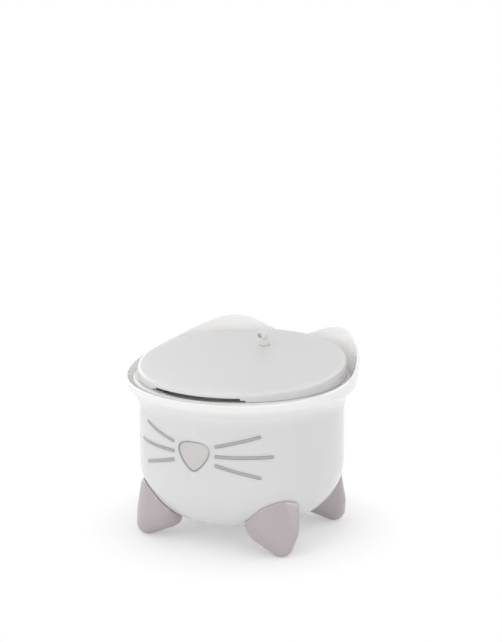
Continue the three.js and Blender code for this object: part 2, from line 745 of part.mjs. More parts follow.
// Filter cartridge, its hem on the ledge around the pocket
const filmZ = trayTopZ - dishDepth - filterSeatDepth + gap;
const filter = assembly('filter', 0, pocketCentreY, filmZ);
addTo(filter, 'filter_film', cut(
  slab(filmSize, filmSize, filmCornerRadius, 0, filmThickness),
  rod(filmHoleRadius, -gap, filmThickness + gap, smallSteps),
), '#e6eae6', 0.6, 0, { transparent: true, opacity: 0.7 });

function pod(sx, sy) {
  const solid = slab(podSize, podSize, podCornerRadius, -podDepth, -gap, 5);
  reshaped(solid, (v) => {
    if (v.z < -podDepth / 2) v.set(v.x * podTaper, v.y * podTaper, v.z);
  });
  return cut(body(solid.translate(sx * podPitch, sy * podPitch, 0)),
    rod(filmHoleRadius + gap, -podDepth - gap, gap, smallSteps));
}
addTo(filter, 'filter_carbon_pod_front', pod(-1, -1), '#9fa29c', 0.9);
addTo(filter, 'filter_carbon_pod_rear', pod(-1, 1), '#9fa29c', 0.9);
addTo(filter, 'filter_resin_pod_front', pod(1, -1), '#dcc0ac', 0.85);
addTo(filter, 'filter_resin_pod_rear', pod(1, 1), '#dcc0ac', 0.85);

// Lid
const lidBottomZ = trayTopZ + gap;
const lid = assembly('lid', 0, 0, lidBottomZ);
const lidTop = lidMiddleHeight;
const lidPan = reshaped(turned([
  [0, lidTop], [lidRadius - lidEdgeRadius, lidTop],
  ...arc(lidRadius - lidEdgeRadius, lidTop - lidEdgeRadius, lidEdgeRadius, lidEdgeStart, 0, 3),
  [lidRadius, lidTop - lidSkirtZone], [lidRadius, 0], [lidRadius - lidWall, 0],
  [lidRadius - lidWall, lidTop - lidSkirtZone], [lidRadius - lidWall, lidTop - lidEdgeRadius],
  [lidRadius - lidEdgeRadius, lidTop - lidWall], [0, lidTop - lidWall],
]), (v) => {
  const share = Math.min(1, v.z / (lidTop - lidSkirtZone));
  v.z += v.y * Math.tan(deg(lidSlope)) * share;
});
addTo(lid, 'lid_plate', cut(
  lidPan,
  atRiser(rod(lidHoleRadius, 0, 3 * lidTop)),
  block(-lidNotchHalfWidth, lidNotchHalfWidth, -lidRadius - gap, -lidRadius / 2, -gap, lidNotchHeight),
  block(-lidNotchStepWidth, lidNotchStepWidth, -lidRadius - gap, -lidRadius / 2, -gap, lidNotchStepHeight),
), white, 0.22);

// Spout: sleeve through the lid into the cap, elbow turning in the sleeve
const spout = assembly('spout', 0, riserY, sleeveBottomZ);
addTo(spout, 'spout_sleeve', turned([
  [spigotRadius + gap, 0], [sleeveRadius - sleeveChamfer[0], 0], [sleeveRadius, sleeveChamfer[1]],
  [sleeveRadius, sealHeight - sealRadius], [sleeveRadius - grooveDepth, sealHeight - sealRadius],
  [sleeveRadius - grooveDepth, sealHeight + sealRadius], [sleeveRadius, sealHeight + sealRadius],
  [sleeveRadius, sleeveLength - sleeveChamfer[1]], [sleeveRadius - sleeveChamfer[0], sleeveLength],
  [spigotRadius + gap, sleeveLength],
], smallSteps), softWhite, 0.35);
addTo(spout, 'spout_seal', turned([
  [sleeveRadius - grooveDepth + gap / 2, sealHeight - sealRadius + gap],
  [sleeveRadius + sealStand, sealHeight - sealRadius + gap],
  [sleeveRadius + sealStand, sealHeight + sealRadius - gap],
  [sleeveRadius - grooveDepth + gap / 2, sealHeight + sealRadius - gap],
], smallSteps), '#d9d6d4', 0.7);
const elbowLine = new THREE.CurvePath();
const elbowBase = new THREE.Vector3(0, 0, sleeveLength + gap);
const bendStart = new THREE.Vector3(0, 0, sleeveLength + spoutRise - spoutBend);
const bendEnd = new THREE.Vector3(0, -spoutBend, sleeveLength + spoutRise);
const mouth = bendEnd.clone().add(new THREE.Vector3(
  0, -spoutReach * Math.cos(deg(spoutDip)), -spoutReach * Math.sin(deg(spoutDip)),
));
elbowLine.add(new THREE.LineCurve3(elbowBase, bendStart));
elbowLine.add(new THREE.QuadraticBezierCurve3(
  bendStart, new THREE.Vector3(0, 0, sleeveLength + spoutRise), bendEnd,
));
elbowLine.add(new THREE.LineCurve3(bendEnd, mouth));
function elbowTube(radius, sides) {
  const round = new THREE.Shape();
  round.absarc(0, 0, radius, 0, Math.PI * 2);
  return body(new THREE.ExtrudeGeometry(round, {
    steps: elbowSteps, curveSegments: sides / 2, extrudePath: elbowLine,
  }));
}
addTo(spout, 'spout_elbow', cut(
  join(elbowTube(spoutRadius, 14),
    rod(spigotRadius, sleeveLength - spigotLength, sleeveLength + spigotRoot, shaftSteps)),
  elbowTube(spoutBore, 10),
  rod(spoutBore, sleeveLength - spigotLength - gap, sleeveLength + spigotRoot, 10),
), softWhite, 0.3);

// Clear riser tube between pump and tray
const tube = assembly('riser', 0, riserY, 0);
addTo(tube, 'riser_tube', turned([
  [tubeBore, tubeBottomZ], [tubeBeadRadius, tubeBottomZ], [tubeBeadRadius, tubeBottomZ + tubeBeadHeight],
  [tubeRadius, tubeBottomZ + tubeBeadHeight + tubeBeadTaper], [tubeRadius, tubeTopZ], [tubeBore, tubeTopZ],
], midSteps), '#dfe3e4', 0.1, 0, { transparent: true, opacity: 0.45 });

// Pump, in its own frame: intake end towards -X, lead side towards +Y
const pump = new THREE.Group();
pump.name = 'pump';
pump.position.setFromMatrixPosition(pumpFrame).setZ(pumpBottomZ);
pump.rotation.z = deg(pumpTurn);
group.add(pump);

const [halfL, halfW] = [pumpLength / 2, pumpWidth / 2];
const bodyFrontX = -halfL + coverThickness;
const softPump = softBlock(pumpLength, pumpWidth, pumpCorner, 0, pumpHeight, pumpEdge);
const wholePump = common(softPump, block(-halfL, halfL, -halfW, halfW, 0, pumpHeight));
const atNozzle = (geometry) => geometry.translate(nozzleX, 0, 0);
const glandHole = rod(glandRadius - glandNeck + gap, 0, pumpWall * 3, smallSteps)
  .rotateX(-Math.PI / 2).translate(glandX, halfW - pumpWall * 2, glandZ);
const housing = join(
  cut(
    wholePump,
    block(-halfL - gap, bodyFrontX + gap, -halfW - gap, halfW + gap, -gap, pumpHeight + gap),
    block(bodyFrontX - gap, halfL - pumpWall, -halfW + pumpWall, halfW - pumpWall, plenumBottom,
      pumpHeight - pumpWall),
    block(bodyFrontX - gap, motorFrontX - pumpWall, -halfW + pumpWall, halfW - pumpWall, intakeZ[0],
      pumpHeight - pumpWall),
    block(motorFrontX, halfL - pumpWall, -halfW + pumpWall, halfW - pumpWall, -gap, motorTop),
    block(bodyFrontX - gap, bodyFrontX + 3 * gap + boardSize[0], ledY - boardSize[1] / 2 - gap,
      ledY + boardSize[1] / 2 + gap, ledZ - boardSize[2] / 2 - gap, ledZ + boardSize[2] / 2 + gap),
    glandHole,
    atNozzle(rod(wellRadius, motorTop - gap, plenumBottom + gap)),
    atNozzle(rod(nozzleBore, pumpHeight - 2 * pumpWall, pumpHeight + gap, smallSteps)),
  ),
  atNozzle(turned([
    [0, wellBottom - wellWall], [wellRadius + wellWall, wellBottom - wellWall],
    [wellRadius + wellWall, motorTop + wellLap], [wellRadius, motorTop + wellLap], [wellRadius, wellBottom],
    [shaftRadius + gap + bossWall, wellBottom], [shaftRadius + gap + bossWall, wellBottom + bossHeight],
    [shaftRadius + gap, wellBottom + bossHeight], [shaftRadius + gap, wellBottom - wellWall + wellLap],
    [0, wellBottom - wellWall + wellLap],
  ], smallSteps)),
  atNozzle(turned([
    [nozzleBore, pumpHeight - pumpWall + gap], [nozzleRingRadius, pumpHeight - pumpWall + gap],
    [nozzleRingRadius, pumpHeight + nozzleRingHeight],
    [nozzleRadius, pumpHeight + nozzleRingHeight + nozzleRingTaper],
    [nozzleRadius, pumpHeight + nozzleLength - nozzleTip[1]],
    [nozzleRadius - nozzleTip[0], pumpHeight + nozzleLength],
    [nozzleBore, pumpHeight + nozzleLength],
  ], smallSteps)),
);
const baseX = [motorFrontX - baseLip, halfL - pumpWall + baseLip];
const baseHalfY = halfW - pumpWall + baseLip;
addTo(pump, 'pump_housing', cut(
  housing,
  block(baseX[0], baseX[1], -baseHalfY, baseHalfY, -gap, baseThickness),
), '#e9e5e4', 0.4);
addTo(pump, 'pump_base', block(
  baseX[0] + gap, baseX[1] - gap, -baseHalfY + gap, baseHalfY - gap, 0, baseThickness - gap,
), '#dedad9', 0.5);

const grilleGap = (intakeY[1] - intakeY[0] - intakeBars * intakeBarWidth) / (intakeBars + 1);
const grilleHoles = Array.from({ length: intakeBars + 1 }, (_, i) => {
  const y = intakeY[0] + i * (grilleGap + intakeBarWidth);
  return block(-halfL - gap, bodyFrontX + gap, y, y + grilleGap, ...intakeZ);
});
addTo(pump, 'intake_cover', cut(
  common(wholePump, block(-halfL, bodyFrontX, -halfW, halfW, 0, pumpHeight)),
  ...grilleHoles,
  rod(ledRadius + gap, 0, 2 * coverThickness, smallSteps).rotateY(-Math.PI / 2)
    .translate(bodyFrontX + coverThickness / 2, ledY, ledZ),
), '#e2dedd', 0.45);
addTo(pump, 'led_lens', rod(ledRadius, 0, coverThickness, smallSteps).rotateY(-Math.PI / 2)
  .translate(bodyFrontX + gap, ledY, ledZ), '#d02020', 0.2);
addTo(pump, 'led_board', block(bodyFrontX + 2 * gap, bodyFrontX + 2 * gap + boardSize[0],
  ledY - boardSize[1] / 2, ledY + boardSize[1] / 2, ledZ - boardSize[2] / 2, ledZ + boardSize[2] / 2),
'#2f6b45', 0.6);

// Motor: laminated core around the rotor's well, one winding on its yoke
const coreZ = [coreBottom, motorTop - coreTopCover];
const legInner = wellRadius + wellWall + gap;
const yokeX = [motorFrontX + coilBulk + 2 * gap, motorFrontX + coilBulk + 2 * gap + coreThickness];
addTo(pump, 'stator_core', cut(
  block(yokeX[0], nozzleX + legInner - coreLegEnd, -legInner - coreThickness, legInner + coreThickness,
    ...coreZ),
  block(yokeX[1], nozzleX + 2 * legInner, -legInner, legInner, coreZ[0] - gap, coreZ[1] + gap),
), '#6d6f72', 0.5, 0.8);
const coilHalfY = legInner - gap;
const coilFar = Math.min(yokeX[1] + gap + coilBulk, nozzleX - wellRadius - wellWall - gap);
addTo(pump, 'stator_winding', cut(
  block(yokeX[0] - gap - coilBulk, coilFar, -coilHalfY, coilHalfY, baseThickness + gap, motorTop - gap),
  block(yokeX[0] - gap, yokeX[1] + gap, -coilHalfY - gap, coilHalfY + gap, coreZ[0] - gap, coreZ[1] + gap),
), '#a8622f', 0.45, 0.6);

// Rotor: magnet and bladed wheel turning on a fixed shaft
const rotor = new THREE.Group();
rotor.name = 'rotor';
rotor.position.set(nozzleX, 0, 0);
pump.add(rotor);
const shaftBottom = wellBottom - wellWall + wellLap + gap;
const shaftTop = pumpHeight - pumpWall - gap;
addTo(pump, 'rotor_shaft', atNozzle(rod(shaftRadius, shaftBottom, shaftTop, shaftSteps)), '#e8e8ea', 0.25);
const magnetBottom = wellBottom + bossHeight + gap;
const magnetTop = plenumBottom - magnetTopInset;
addTo(rotor, 'rotor_magnet', pipe(magnetRadius, shaftRadius + gap, magnetBottom, magnetTop,
  smallSteps), '#4a4b4e', 0.4, 0.5);
const wheelBottom = plenumBottom + 2 * gap;
const blades = Array.from({ length: bladeCount }, (_, i) => block(
  impellerHub - bladeRoot, impellerRadius, -bladeThickness / 2, bladeThickness / 2,
  wheelBottom + impellerDisc - gap, wheelBottom + impellerHeight,
).rotateZ((i * 2 * Math.PI) / bladeCount));
addTo(rotor, 'impeller', cut(
  join(rod(impellerRadius, wheelBottom, wheelBottom + impellerDisc, smallSteps),
    rod(impellerHub, magnetTop + gap, wheelBottom + impellerHeight, smallSteps), ...blades),
  rod(shaftRadius + gap, 0, pumpHeight, shaftSteps),
), '#f0eeec', 0.4);

// Gland where the lead leaves the pump
const glandBore = leadRadius + gap;
addTo(pump, 'cord_gland', turned([
  [glandBore, 0], [glandRadius - glandNeck, 0], [glandRadius - glandNeck, pumpWall + gap],
  [glandRadius, pumpWall + gap], [glandRadius, pumpWall + glandFlange],
  [glandRadius - glandTaper, pumpWall + glandLength], [glandBore, pumpWall + glandLength],
], smallSteps).rotateX(-Math.PI / 2).translate(glandX, halfW - pumpWall, glandZ), '#e0dcda', 0.6);

// Lead: inside the bowl, over the wall, along the floor, a coil and a plug
const glandStart = new THREE.Vector3(glandX, halfW - pumpWall, glandZ + pumpBottomZ).applyMatrix4(pumpFrame);
const leadWay = new THREE.Vector3(-Math.sin(deg(pumpTurn)), Math.cos(deg(pumpTurn)), 0);
const alongLead = (distance) => glandStart.clone().addScaledVector(leadWay, distance).toArray();
const wallY = panelInnerRadius - leadRadius - leadSlack[0];
const slotZ = slotBottomZ + leadRadius + leadSlack[1];
const innerEnd = (bowlRadius + rimRadius) / 2 - leadSlack[2];
const outsideY = rimRadius - leadSlack[3];
const floorZ = leadRadius + floorLift;
const inner = [
  alongLead(0), alongLead(8), [-41.5, 58, 47.4], [-53, 51, 47], [-61, 41.5, 48.4], [-68, 41, 51.5],
  [-69, 50, 54.5], [-60.5, 60, 56], [-47, 69, 54.5], [-33, 76.5, 50], [-18.5, 84.5, 46], [-7, 91.5, 49],
  [-1.8, 96.8, 58], [0, wallY - 0.6, 74], [0, wallY, 100], [0, wallY, 124], [0, wallY, 138],
  [0, wallY + 0.4, 144], [0, wallY + 1.3, slotZ - 3.2], [0, wallY + 2.9, slotZ - 0.9],
  [0, innerEnd - 4.4, slotZ], [0, innerEnd, slotZ],
];
addTo(group, 'lead_inner', hose(inner, leadRadius, leadStep, 6), '#eeeae8', 0.5);

const [coilX, coilY] = coilCentre;
const coilStart = [coilX, coilY + coilRadius, floorZ];
const outer = [
  [0, innerEnd + gap, slotZ], [0, innerEnd + 3.2, slotZ - 0.2], [0, outsideY, slotZ - 6.5],
  [0, outsideY + 1, slotZ - 22], [0, outsideY, 100], [0, outsideY, 60], [0, outsideY + 1, 24],
  [-0.6, outsideY + 5.5, 9], [-1.6, outsideY + 12, floorZ + 1.4], [-3.4, outsideY + 20, floorZ + 0.1],
  [-8, outsideY + 33, floorZ],
  [-22, coilY + coilRadius - 4.4, floorZ], [-40, coilY + coilRadius - 0.2, floorZ],
  [coilX + 5, coilStart[1], floorZ], [coilX + gap, coilStart[1], floorZ],
];
addTo(group, 'lead_outer', hose(outer, leadRadius, leadStep, 6), '#eeeae8', 0.5);

const coilStepsPerLoop = 22;
const coilPoints = Array.from({ length: coilLoops * coilStepsPerLoop + 1 }, (_, i) => {
  const turn = (i / coilStepsPerLoop) * 2 * Math.PI;
  return new THREE.Vector3(coilX - coilRadius * Math.sin(turn), coilY + coilRadius * Math.cos(turn),
    floorZ + (coilPitch * i) / coilStepsPerLoop);
});
const coilCurve = new THREE.CatmullRomCurve3(coilPoints, false, 'centripetal');
const leadRound = new THREE.Shape();
leadRound.absarc(0, 0, leadRadius, 0, Math.PI * 2);
addTo(group, 'lead_coil', new THREE.ExtrudeGeometry(leadRound, {
  steps: coilLoops * coilStepsPerLoop, curveSegments: 3, extrudePath: coilCurve,
}), '#eeeae8', 0.5);
let leastGap = Infinity;
for (let i = 0; i < coilPoints.length; i += 1) {
  for (let j = i + Math.round(coilStepsPerLoop / 2); j < coilPoints.length; j += 1) {
    leastGap = Math.min(leastGap, coilPoints[i].distanceTo(coilPoints[j]) - 2 * leadRadius);
  }
}
console.log(`lead coil: ${coilLoops} loops, ${coilCurve.getLength().toFixed(0)} mm, `
  + `least gap ${leastGap.toFixed(2)} mm`);

const tailZ = floorZ + coilPitch * coilLoops;
const plugZ = plugThickness / 2 + floorLift;
const plugX = coilX + plugPlace[0];
const plugY = coilY + plugPlace[1];
const tail = [
  [coilX - gap, coilY + coilRadius, tailZ], [coilX - 4, coilY + coilRadius + 0.1, tailZ],
  [coilX - 14, coilY + coilRadius + 1.2, tailZ - 0.8], [coilX - 26, coilY + coilRadius + 0.4, tailZ - 9],
  [coilX - 37, coilY + coilRadius - 4, plugZ + 12], [coilX - 47, plugY + 1, plugZ + 2],
  [plugX + 5, plugY, plugZ], [plugX + gap, plugY, plugZ],
];
addTo(group, 'lead_tail', hose(tail, leadRadius, leadStep, 6), '#eeeae8', 0.5);

const plug = assembly('plug', plugX, plugY, plugZ);
const plugBlock = softBlock(plugWidth, plugThickness, plugCorner, plugReliefLength, plugLength, plugEdge);
addTo(plug, 'plug_body', join(
  plugBlock.rotateY(-Math.PI / 2).rotateX(Math.PI / 2),
  rod(plugReliefRadius, 0, plugReliefLength + 2 * plugEdge, shaftSteps).rotateY(-Math.PI / 2),
), '#e6e2e0', 0.5);
const shellEnd = -plugLength - gap;
addTo(plug, 'plug_shell', cut(
  block(shellEnd - plugShellLength, shellEnd, -plugShellWidth / 2, plugShellWidth / 2,
    -plugShellThickness / 2, plugShellThickness / 2),
  block(shellEnd - plugShellLength - gap, shellEnd - plugShellWall, -plugShellWidth / 2 + plugShellWall,
    plugShellWidth / 2 - plugShellWall, -plugShellThickness / 2 + plugShellWall,
    plugShellThickness / 2 - plugShellWall),
), '#c9c9cb', 0.3, 0.9);
const [innerLength, outerLength, tailLength] = [inner, outer, tail].map((points) => (
  new THREE.CatmullRomCurve3(points.map((p) => new THREE.Vector3(...p)), false, 'centripetal').getLength()));
console.log(`lead: inner ${innerLength.toFixed(0)}, outer ${outerLength.toFixed(0)}, `
  + `coil ${coilCurve.getLength().toFixed(0)}, tail ${tailLength.toFixed(0)} mm`);

export default group;
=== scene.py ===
import math

import bmesh
import bpy
from mathutils import Matrix, Vector


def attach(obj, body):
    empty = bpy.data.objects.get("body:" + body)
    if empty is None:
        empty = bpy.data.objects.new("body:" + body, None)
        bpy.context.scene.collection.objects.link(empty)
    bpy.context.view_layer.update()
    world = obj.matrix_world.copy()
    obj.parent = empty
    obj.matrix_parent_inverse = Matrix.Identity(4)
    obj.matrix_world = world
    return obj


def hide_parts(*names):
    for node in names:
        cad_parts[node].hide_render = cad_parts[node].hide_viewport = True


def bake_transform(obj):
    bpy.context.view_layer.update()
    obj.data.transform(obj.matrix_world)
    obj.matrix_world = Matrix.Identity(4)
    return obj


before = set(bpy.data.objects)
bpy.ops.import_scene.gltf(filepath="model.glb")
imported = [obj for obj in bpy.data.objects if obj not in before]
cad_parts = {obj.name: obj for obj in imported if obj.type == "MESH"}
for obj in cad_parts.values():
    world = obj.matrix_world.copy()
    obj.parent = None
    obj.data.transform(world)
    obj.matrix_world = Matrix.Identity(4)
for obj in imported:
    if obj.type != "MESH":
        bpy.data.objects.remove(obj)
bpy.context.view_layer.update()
mm = 0.001
gap = 0.3  # millimetres left between neighbours
over = 4  # millimetres that a cutter runs past a face


# Camera, at the photograph's angle: the whole stack of lifted pieces fits in it
cameraView = {
    "azimuth": 27, "elevation": 13.4,          # degrees
    "distance": 2.0, "height": 0.224,            # metres
    "aside": 0.0094,                             # how far the aim lies to the right of the axis
    "lens": 107.9,
}


def addObject(name, data):
    thing = bpy.data.objects.new(name, data)
    bpy.context.scene.collection.objects.link(thing)
    return thing


def placeCamera(s):
    around, up = math.radians(s["azimuth"]), math.radians(s["elevation"])
    back = Vector((math.sin(around) * math.cos(up), -math.cos(around) * math.cos(up), math.sin(up)))
    right = Vector((math.cos(around), math.sin(around), 0))
    data = bpy.data.cameras.new("photoCamera")
    data.sensor_fit = "AUTO"
    data.sensor_width = 36
    data.lens = s["lens"]
    data.clip_start, data.clip_end = 0.05, 20
    camera = addObject("photoCamera", data)
    camera.location = Vector((0, 0, s["height"])) + right * s["aside"] + back * s["distance"]
    camera.rotation_euler = (-back).to_track_quat("-Z", "Y").to_euler()
    bpy.context.scene.camera = camera


placeCamera(cameraView)
print("camera placed")


# Modelling helpers. Lengths come in millimetres and are turned to metres on the way in.
def roundCorners(points, closed=True, steps=5):
    line = []
    count = len(points)
    for i, point in enumerate(points):
        here = Vector(point[:2])
        radius = point[2] if len(point) > 2 else 0
        if radius <= 0 or (not closed and i in (0, count - 1)):
            line.append(here)
            continue
        before = (Vector(points[i - 1][:2]) - here).normalized()
        after = (Vector(points[(i + 1) % count][:2]) - here).normalized()
        half = before.angle(after) / 2
        centre = here + (before + after).normalized() * (radius / math.sin(half))
        start = here + before * (radius / math.tan(half)) - centre
        sweep = start.angle_signed(here + after * (radius / math.tan(half)) - centre)
        for k in range(steps + 1):
            turn = -sweep * k / steps
            line.append(centre + Matrix.Rotation(turn, 2) @ start)
    return line


def softCurve(points, steps=4):
    line = []
    for i in range(len(points) - 1):
        p0, p1 = Vector(points[max(0, i - 1)]), Vector(points[i])
        p2, p3 = Vector(points[i + 1]), Vector(points[min(len(points) - 1, i + 2)])
        for k in range(steps):
            t = k / steps
            line.append(0.5 * ((2 * p1) + (p2 - p0) * t + (2 * p0 - 5 * p1 + 4 * p2 - p3) * t * t
                               + (3 * p1 - p0 - 3 * p2 + p3) * t ** 3))
    line.append(Vector(points[-1]))
    return line


def arcLine(centre, radius, start, end, steps):
    return [Vector((centre[0] + radius * math.cos(math.radians(start + (end - start) * k / steps)),
                    centre[1] + radius * math.sin(math.radians(start + (end - start) * k / steps))))
            for k in range(steps + 1)]


# facesOut says that the faces already point outwards and are left as they are.
def newMesh(name, bm, facesOut=False):
    if not facesOut:
        bmesh.ops.recalc_face_normals(bm, faces=bm.faces)
    mesh = bpy.data.meshes.new(name)
    bm.to_mesh(mesh)
    bm.free()
    return addObject(name, mesh)


# An outline of radii and heights, turned about the upright axis; a part turn gets its two end faces.
def spun(outline, steps, centre=(0, 0), base=0, angle=360, start=0):
    bm = bmesh.new()
    begin = Matrix.Rotation(math.radians(start), 3, "Z")
    verts = [bm.verts.new(begin @ Vector((p[0] * mm, 0, (p[1] + base) * mm))) for p in outline]
    onAxis = outline[0][0] == 0 and outline[-1][0] == 0
    pairs = list(zip(verts, verts[1:])) + ([] if onAxis else [(verts[-1], verts[0])])
    edges = [bm.edges.new(pair) for pair in pairs]
    full = angle == 360
    if not full:
        face = bm.faces.new(verts)
        bmesh.ops.spin(bm, geom=[face, *edges, *verts], cent=(0, 0, 0), axis=(0, 0, 1),
                       angle=math.radians(angle), steps=steps, use_duplicate=False)
        bmesh.ops.recalc_face_normals(bm, faces=bm.faces)
        caps = [f for f in bm.faces if len(f.verts) == len(verts)]
        if len(caps) == 1:
            bm.faces.new([v for v in verts if v.is_valid][::-1])
    else:
        bmesh.ops.spin(bm, geom=[*edges, *verts], cent=(0, 0, 0), axis=(0, 0, 1),
                       angle=math.radians(360), steps=steps, use_merge=True)
    bmesh.ops.remove_doubles(bm, verts=bm.verts, dist=0.002 * mm)
    bmesh.ops.translate(bm, verts=bm.verts, vec=(centre[0] * mm, centre[1] * mm, 0))
    return bm


# A face pulled out of the mesh; gives back the face at the new end.
def movedOn(bm, face, by):
    made = bmesh.ops.extrude_face_region(bm, geom=[face])
    bmesh.ops.translate(bm, verts=[v for v in made["geom"] if isinstance(v, bmesh.types.BMVert)], vec=by)
    return [f for f in made["geom"] if isinstance(f, bmesh.types.BMFace)][0]


def raised(outline, bottom, top, centre=(0, 0)):
    bm = bmesh.new()
    face = bm.faces.new([bm.verts.new(((p[0] + centre[0]) * mm, (p[1] + centre[1]) * mm, bottom * mm))
                         for p in outline])
    movedOn(bm, face, (0, 0, (top - bottom) * mm))
    return bm


def roundedBox(width, length, corner, steps=8):
    x, y = width / 2, length / 2
    return roundCorners([(-x, -y, corner), (x, -y, corner), (x, y, corner), (-x, y, corner)], steps=steps)


def drum(name, outline, steps, centre=(0, 0), base=0):
    return newMesh(name, spun(outline, steps, centre, base))


def rod(name, radius, low, high, steps, centre=(0, 0), base=0):
    return drum(name, [(0, low), (radius, low), (radius, high), (0, high)], steps, centre, base)


def block(name, size, corner, bottom, top, centre, steps=10):
    return newMesh(name, raised(roundedBox(size, size, corner, steps), bottom, top, centre))


def carve(piece, *cutters, how="DIFFERENCE"):
    for cutter in cutters:
        change = piece.modifiers.new(cutter.name, "BOOLEAN")
        change.operation = how
        change.object = cutter
        change.solver = "EXACT"
    applyAll(piece)
    for cutter in cutters:
        bpy.data.objects.remove(cutter)


def applyAll(piece):
    bpy.context.view_layer.update()
    graph = bpy.context.evaluated_depsgraph_get()
    done = bpy.data.meshes.new_from_object(piece.evaluated_get(graph))
    old = piece.data
    piece.modifiers.clear()
    piece.data = done
    done.name = piece.name
    bpy.data.meshes.remove(old)


def reshape(piece, rule):
    for v in piece.data.vertices:
        v.co = rule(v.co)
    piece.data.update()


def shade(piece, angle, weighted):
    piece.data.shade_smooth()
    piece.data.set_sharp_from_angle(angle=math.radians(angle))
    if weighted:
        change = piece.modifiers.new("evenShading", "WEIGHTED_NORMAL")
        change.keep_sharp = True
        change.weight = 90


def finishPiece(piece, body, finish, nodes, sharp, weighted=True):
    piece.data.materials.clear()
    piece.data.materials.append(finishes[finish])
    shade(piece, sharp, weighted)
    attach(piece, body)
    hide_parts(*nodes)


# A copy of a CAD node whose shape is already right, with its faces joined and its flats cleaned.
def cleanCopy(node, name):
    bm = bmesh.new()
    bm.from_mesh(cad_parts[node].data)
    bmesh.ops.remove_doubles(bm, verts=bm.verts, dist=0.01 * mm)
    bmesh.ops.dissolve_limit(bm, angle_limit=math.radians(1.5), use_dissolve_boundaries=False,
                             verts=bm.verts, edges=bm.edges, delimit={"NORMAL"})
    return newMesh(name, bm, True)


# Finishes
def newFinish(name):
    finish = bpy.data.materials.new(name)
    finish.use_nodes = True
    tree = finish.node_tree
    place = tree.nodes.new("ShaderNodeTexCoord")
    return finish, tree, tree.nodes["Principled BSDF"], place.outputs["Object"]


def feed(tree, node, values):  # a value is a number, a colour, or the output of another node
    for name, value in values.items():
        if isinstance(value, bpy.types.NodeSocket):
            tree.links.new(value, node.inputs[name])
        else:
            node.inputs[name].default_value = value


def addNode(tree, kind, values):
    node = tree.nodes.new("ShaderNode" + kind)
    feed(tree, node, values)
    return node


def noiseOf(tree, place, scale, detail, rough=0.5, distortion=0.0):
    return addNode(tree, "TexNoise", {"Vector": place, "Scale": scale, "Detail": detail, "Roughness": rough,
                                      "Distortion": distortion}).outputs["Fac"]


def stretchOf(tree, place, scale, turn=(0, 0, 0)):
    return addNode(tree, "Mapping", {"Vector": place, "Scale": scale, "Rotation": turn}).outputs["Vector"]


def levelsOf(tree, value, low, high, fromLow=0.3, fromHigh=0.7):
    return addNode(tree, "MapRange", {"Value": value, "From Min": fromLow, "From Max": fromHigh,
                                      "To Min": low, "To Max": high}).outputs["Result"]


def blendOf(tree, share, first, second):
    mix = tree.nodes.new("ShaderNodeMix")
    mix.data_type = "RGBA"
    first, second = [(*colour, 1) if isinstance(colour, tuple) else colour for colour in (first, second)]
    feed(tree, mix, {"Factor": share, 6: first, 7: second})  # 6 and 7 are its colour inputs
    return mix.outputs[2]


def mathOf(tree, operation, *values):
    result = tree.nodes.new("ShaderNodeMath")
    result.operation = operation
    feed(tree, result, dict(enumerate(values)))
    return result.outputs[0]


def tonedOf(tree, value, s):
    return blendOf(tree, levelsOf(tree, value, 0, 1), s["colour"], s["shade"])


def bumpOf(tree, height, strength, distance, under=None):
    bump = addNode(tree, "Bump", {"Height": height, "Strength": strength, "Distance": distance})
    if under is not None:
        tree.links.new(under, bump.inputs["Normal"])
    return bump.outputs["Normal"]


# Moulded plastic: faint flow clouds, a fine skin, wear along the edges, light through thin white walls.
def mouldedFinish(name, s):
    finish, tree, shader, place = newFinish(name)
    clouds = noiseOf(tree, place, 18, 4, 0.55, 0.4)
    skin = noiseOf(tree, place, 900, 3, 0.6)
    wide = noiseOf(tree, place, 45, 2, 0.4)
    geometry = tree.nodes.new("ShaderNodeNewGeometry")
    edge = levelsOf(tree, geometry.outputs["Pointiness"], 0, 1, 0.51, 0.58)
    normal = bumpOf(tree, wide, s.get("wave", 0.02), 0.002)
    feed(tree, shader, {
        "Base Color": blendOf(tree, edge, tonedOf(tree, clouds, s), s.get("worn", s["colour"])),
        "Roughness": levelsOf(tree, clouds, *s["rough"]),
        "Normal": bumpOf(tree, skin, s.get("skin", 0.04), 0.0004, normal),
        "IOR": 1.48, "Coat Weight": s.get("coat", 0), "Coat Roughness": s.get("coatRough", 0.08),
        "Subsurface Weight": s.get("soft", 0), "Subsurface Radius": (0.02, 0.019, 0.018),
        "Subsurface Scale": 1})
    return finish


# Smoky plastic that lets a little light through.
def clearFinish(name, s):
    finish, tree, shader, place = newFinish(name)
    clouds = noiseOf(tree, place, 60, 3)
    ripple = noiseOf(tree, stretchOf(tree, place, (1, 1, 0.25)), 160, 2)
    feed(tree, shader, {
        "Base Color": tonedOf(tree, clouds, s), "Roughness": levelsOf(tree, clouds, *s["rough"]),
        "Normal": bumpOf(tree, ripple, 0.03, 0.001), "IOR": s["ior"], "Transmission Weight": s["through"]})
    return finish


# Soft silicone or milky hose: matt, slightly dusty, light bleeding through it.
def siliconeFinish(name, s):
    finish, tree, shader, place = newFinish(name)
    dust = noiseOf(tree, place, 220, 5, 0.7)
    grain = noiseOf(tree, place, 2600, 2)
    feed(tree, shader, {
        "Base Color": tonedOf(tree, dust, s), "Roughness": levelsOf(tree, dust, *s["rough"]),
        "Normal": bumpOf(tree, grain, 0.08, 0.0003), "Subsurface Weight": s["soft"],
        "Subsurface Radius": (0.004, 0.0035, 0.003), "Subsurface Scale": 0.5, "Sheen Weight": 0.15,
        "Sheen Roughness": 0.5})
    return finish


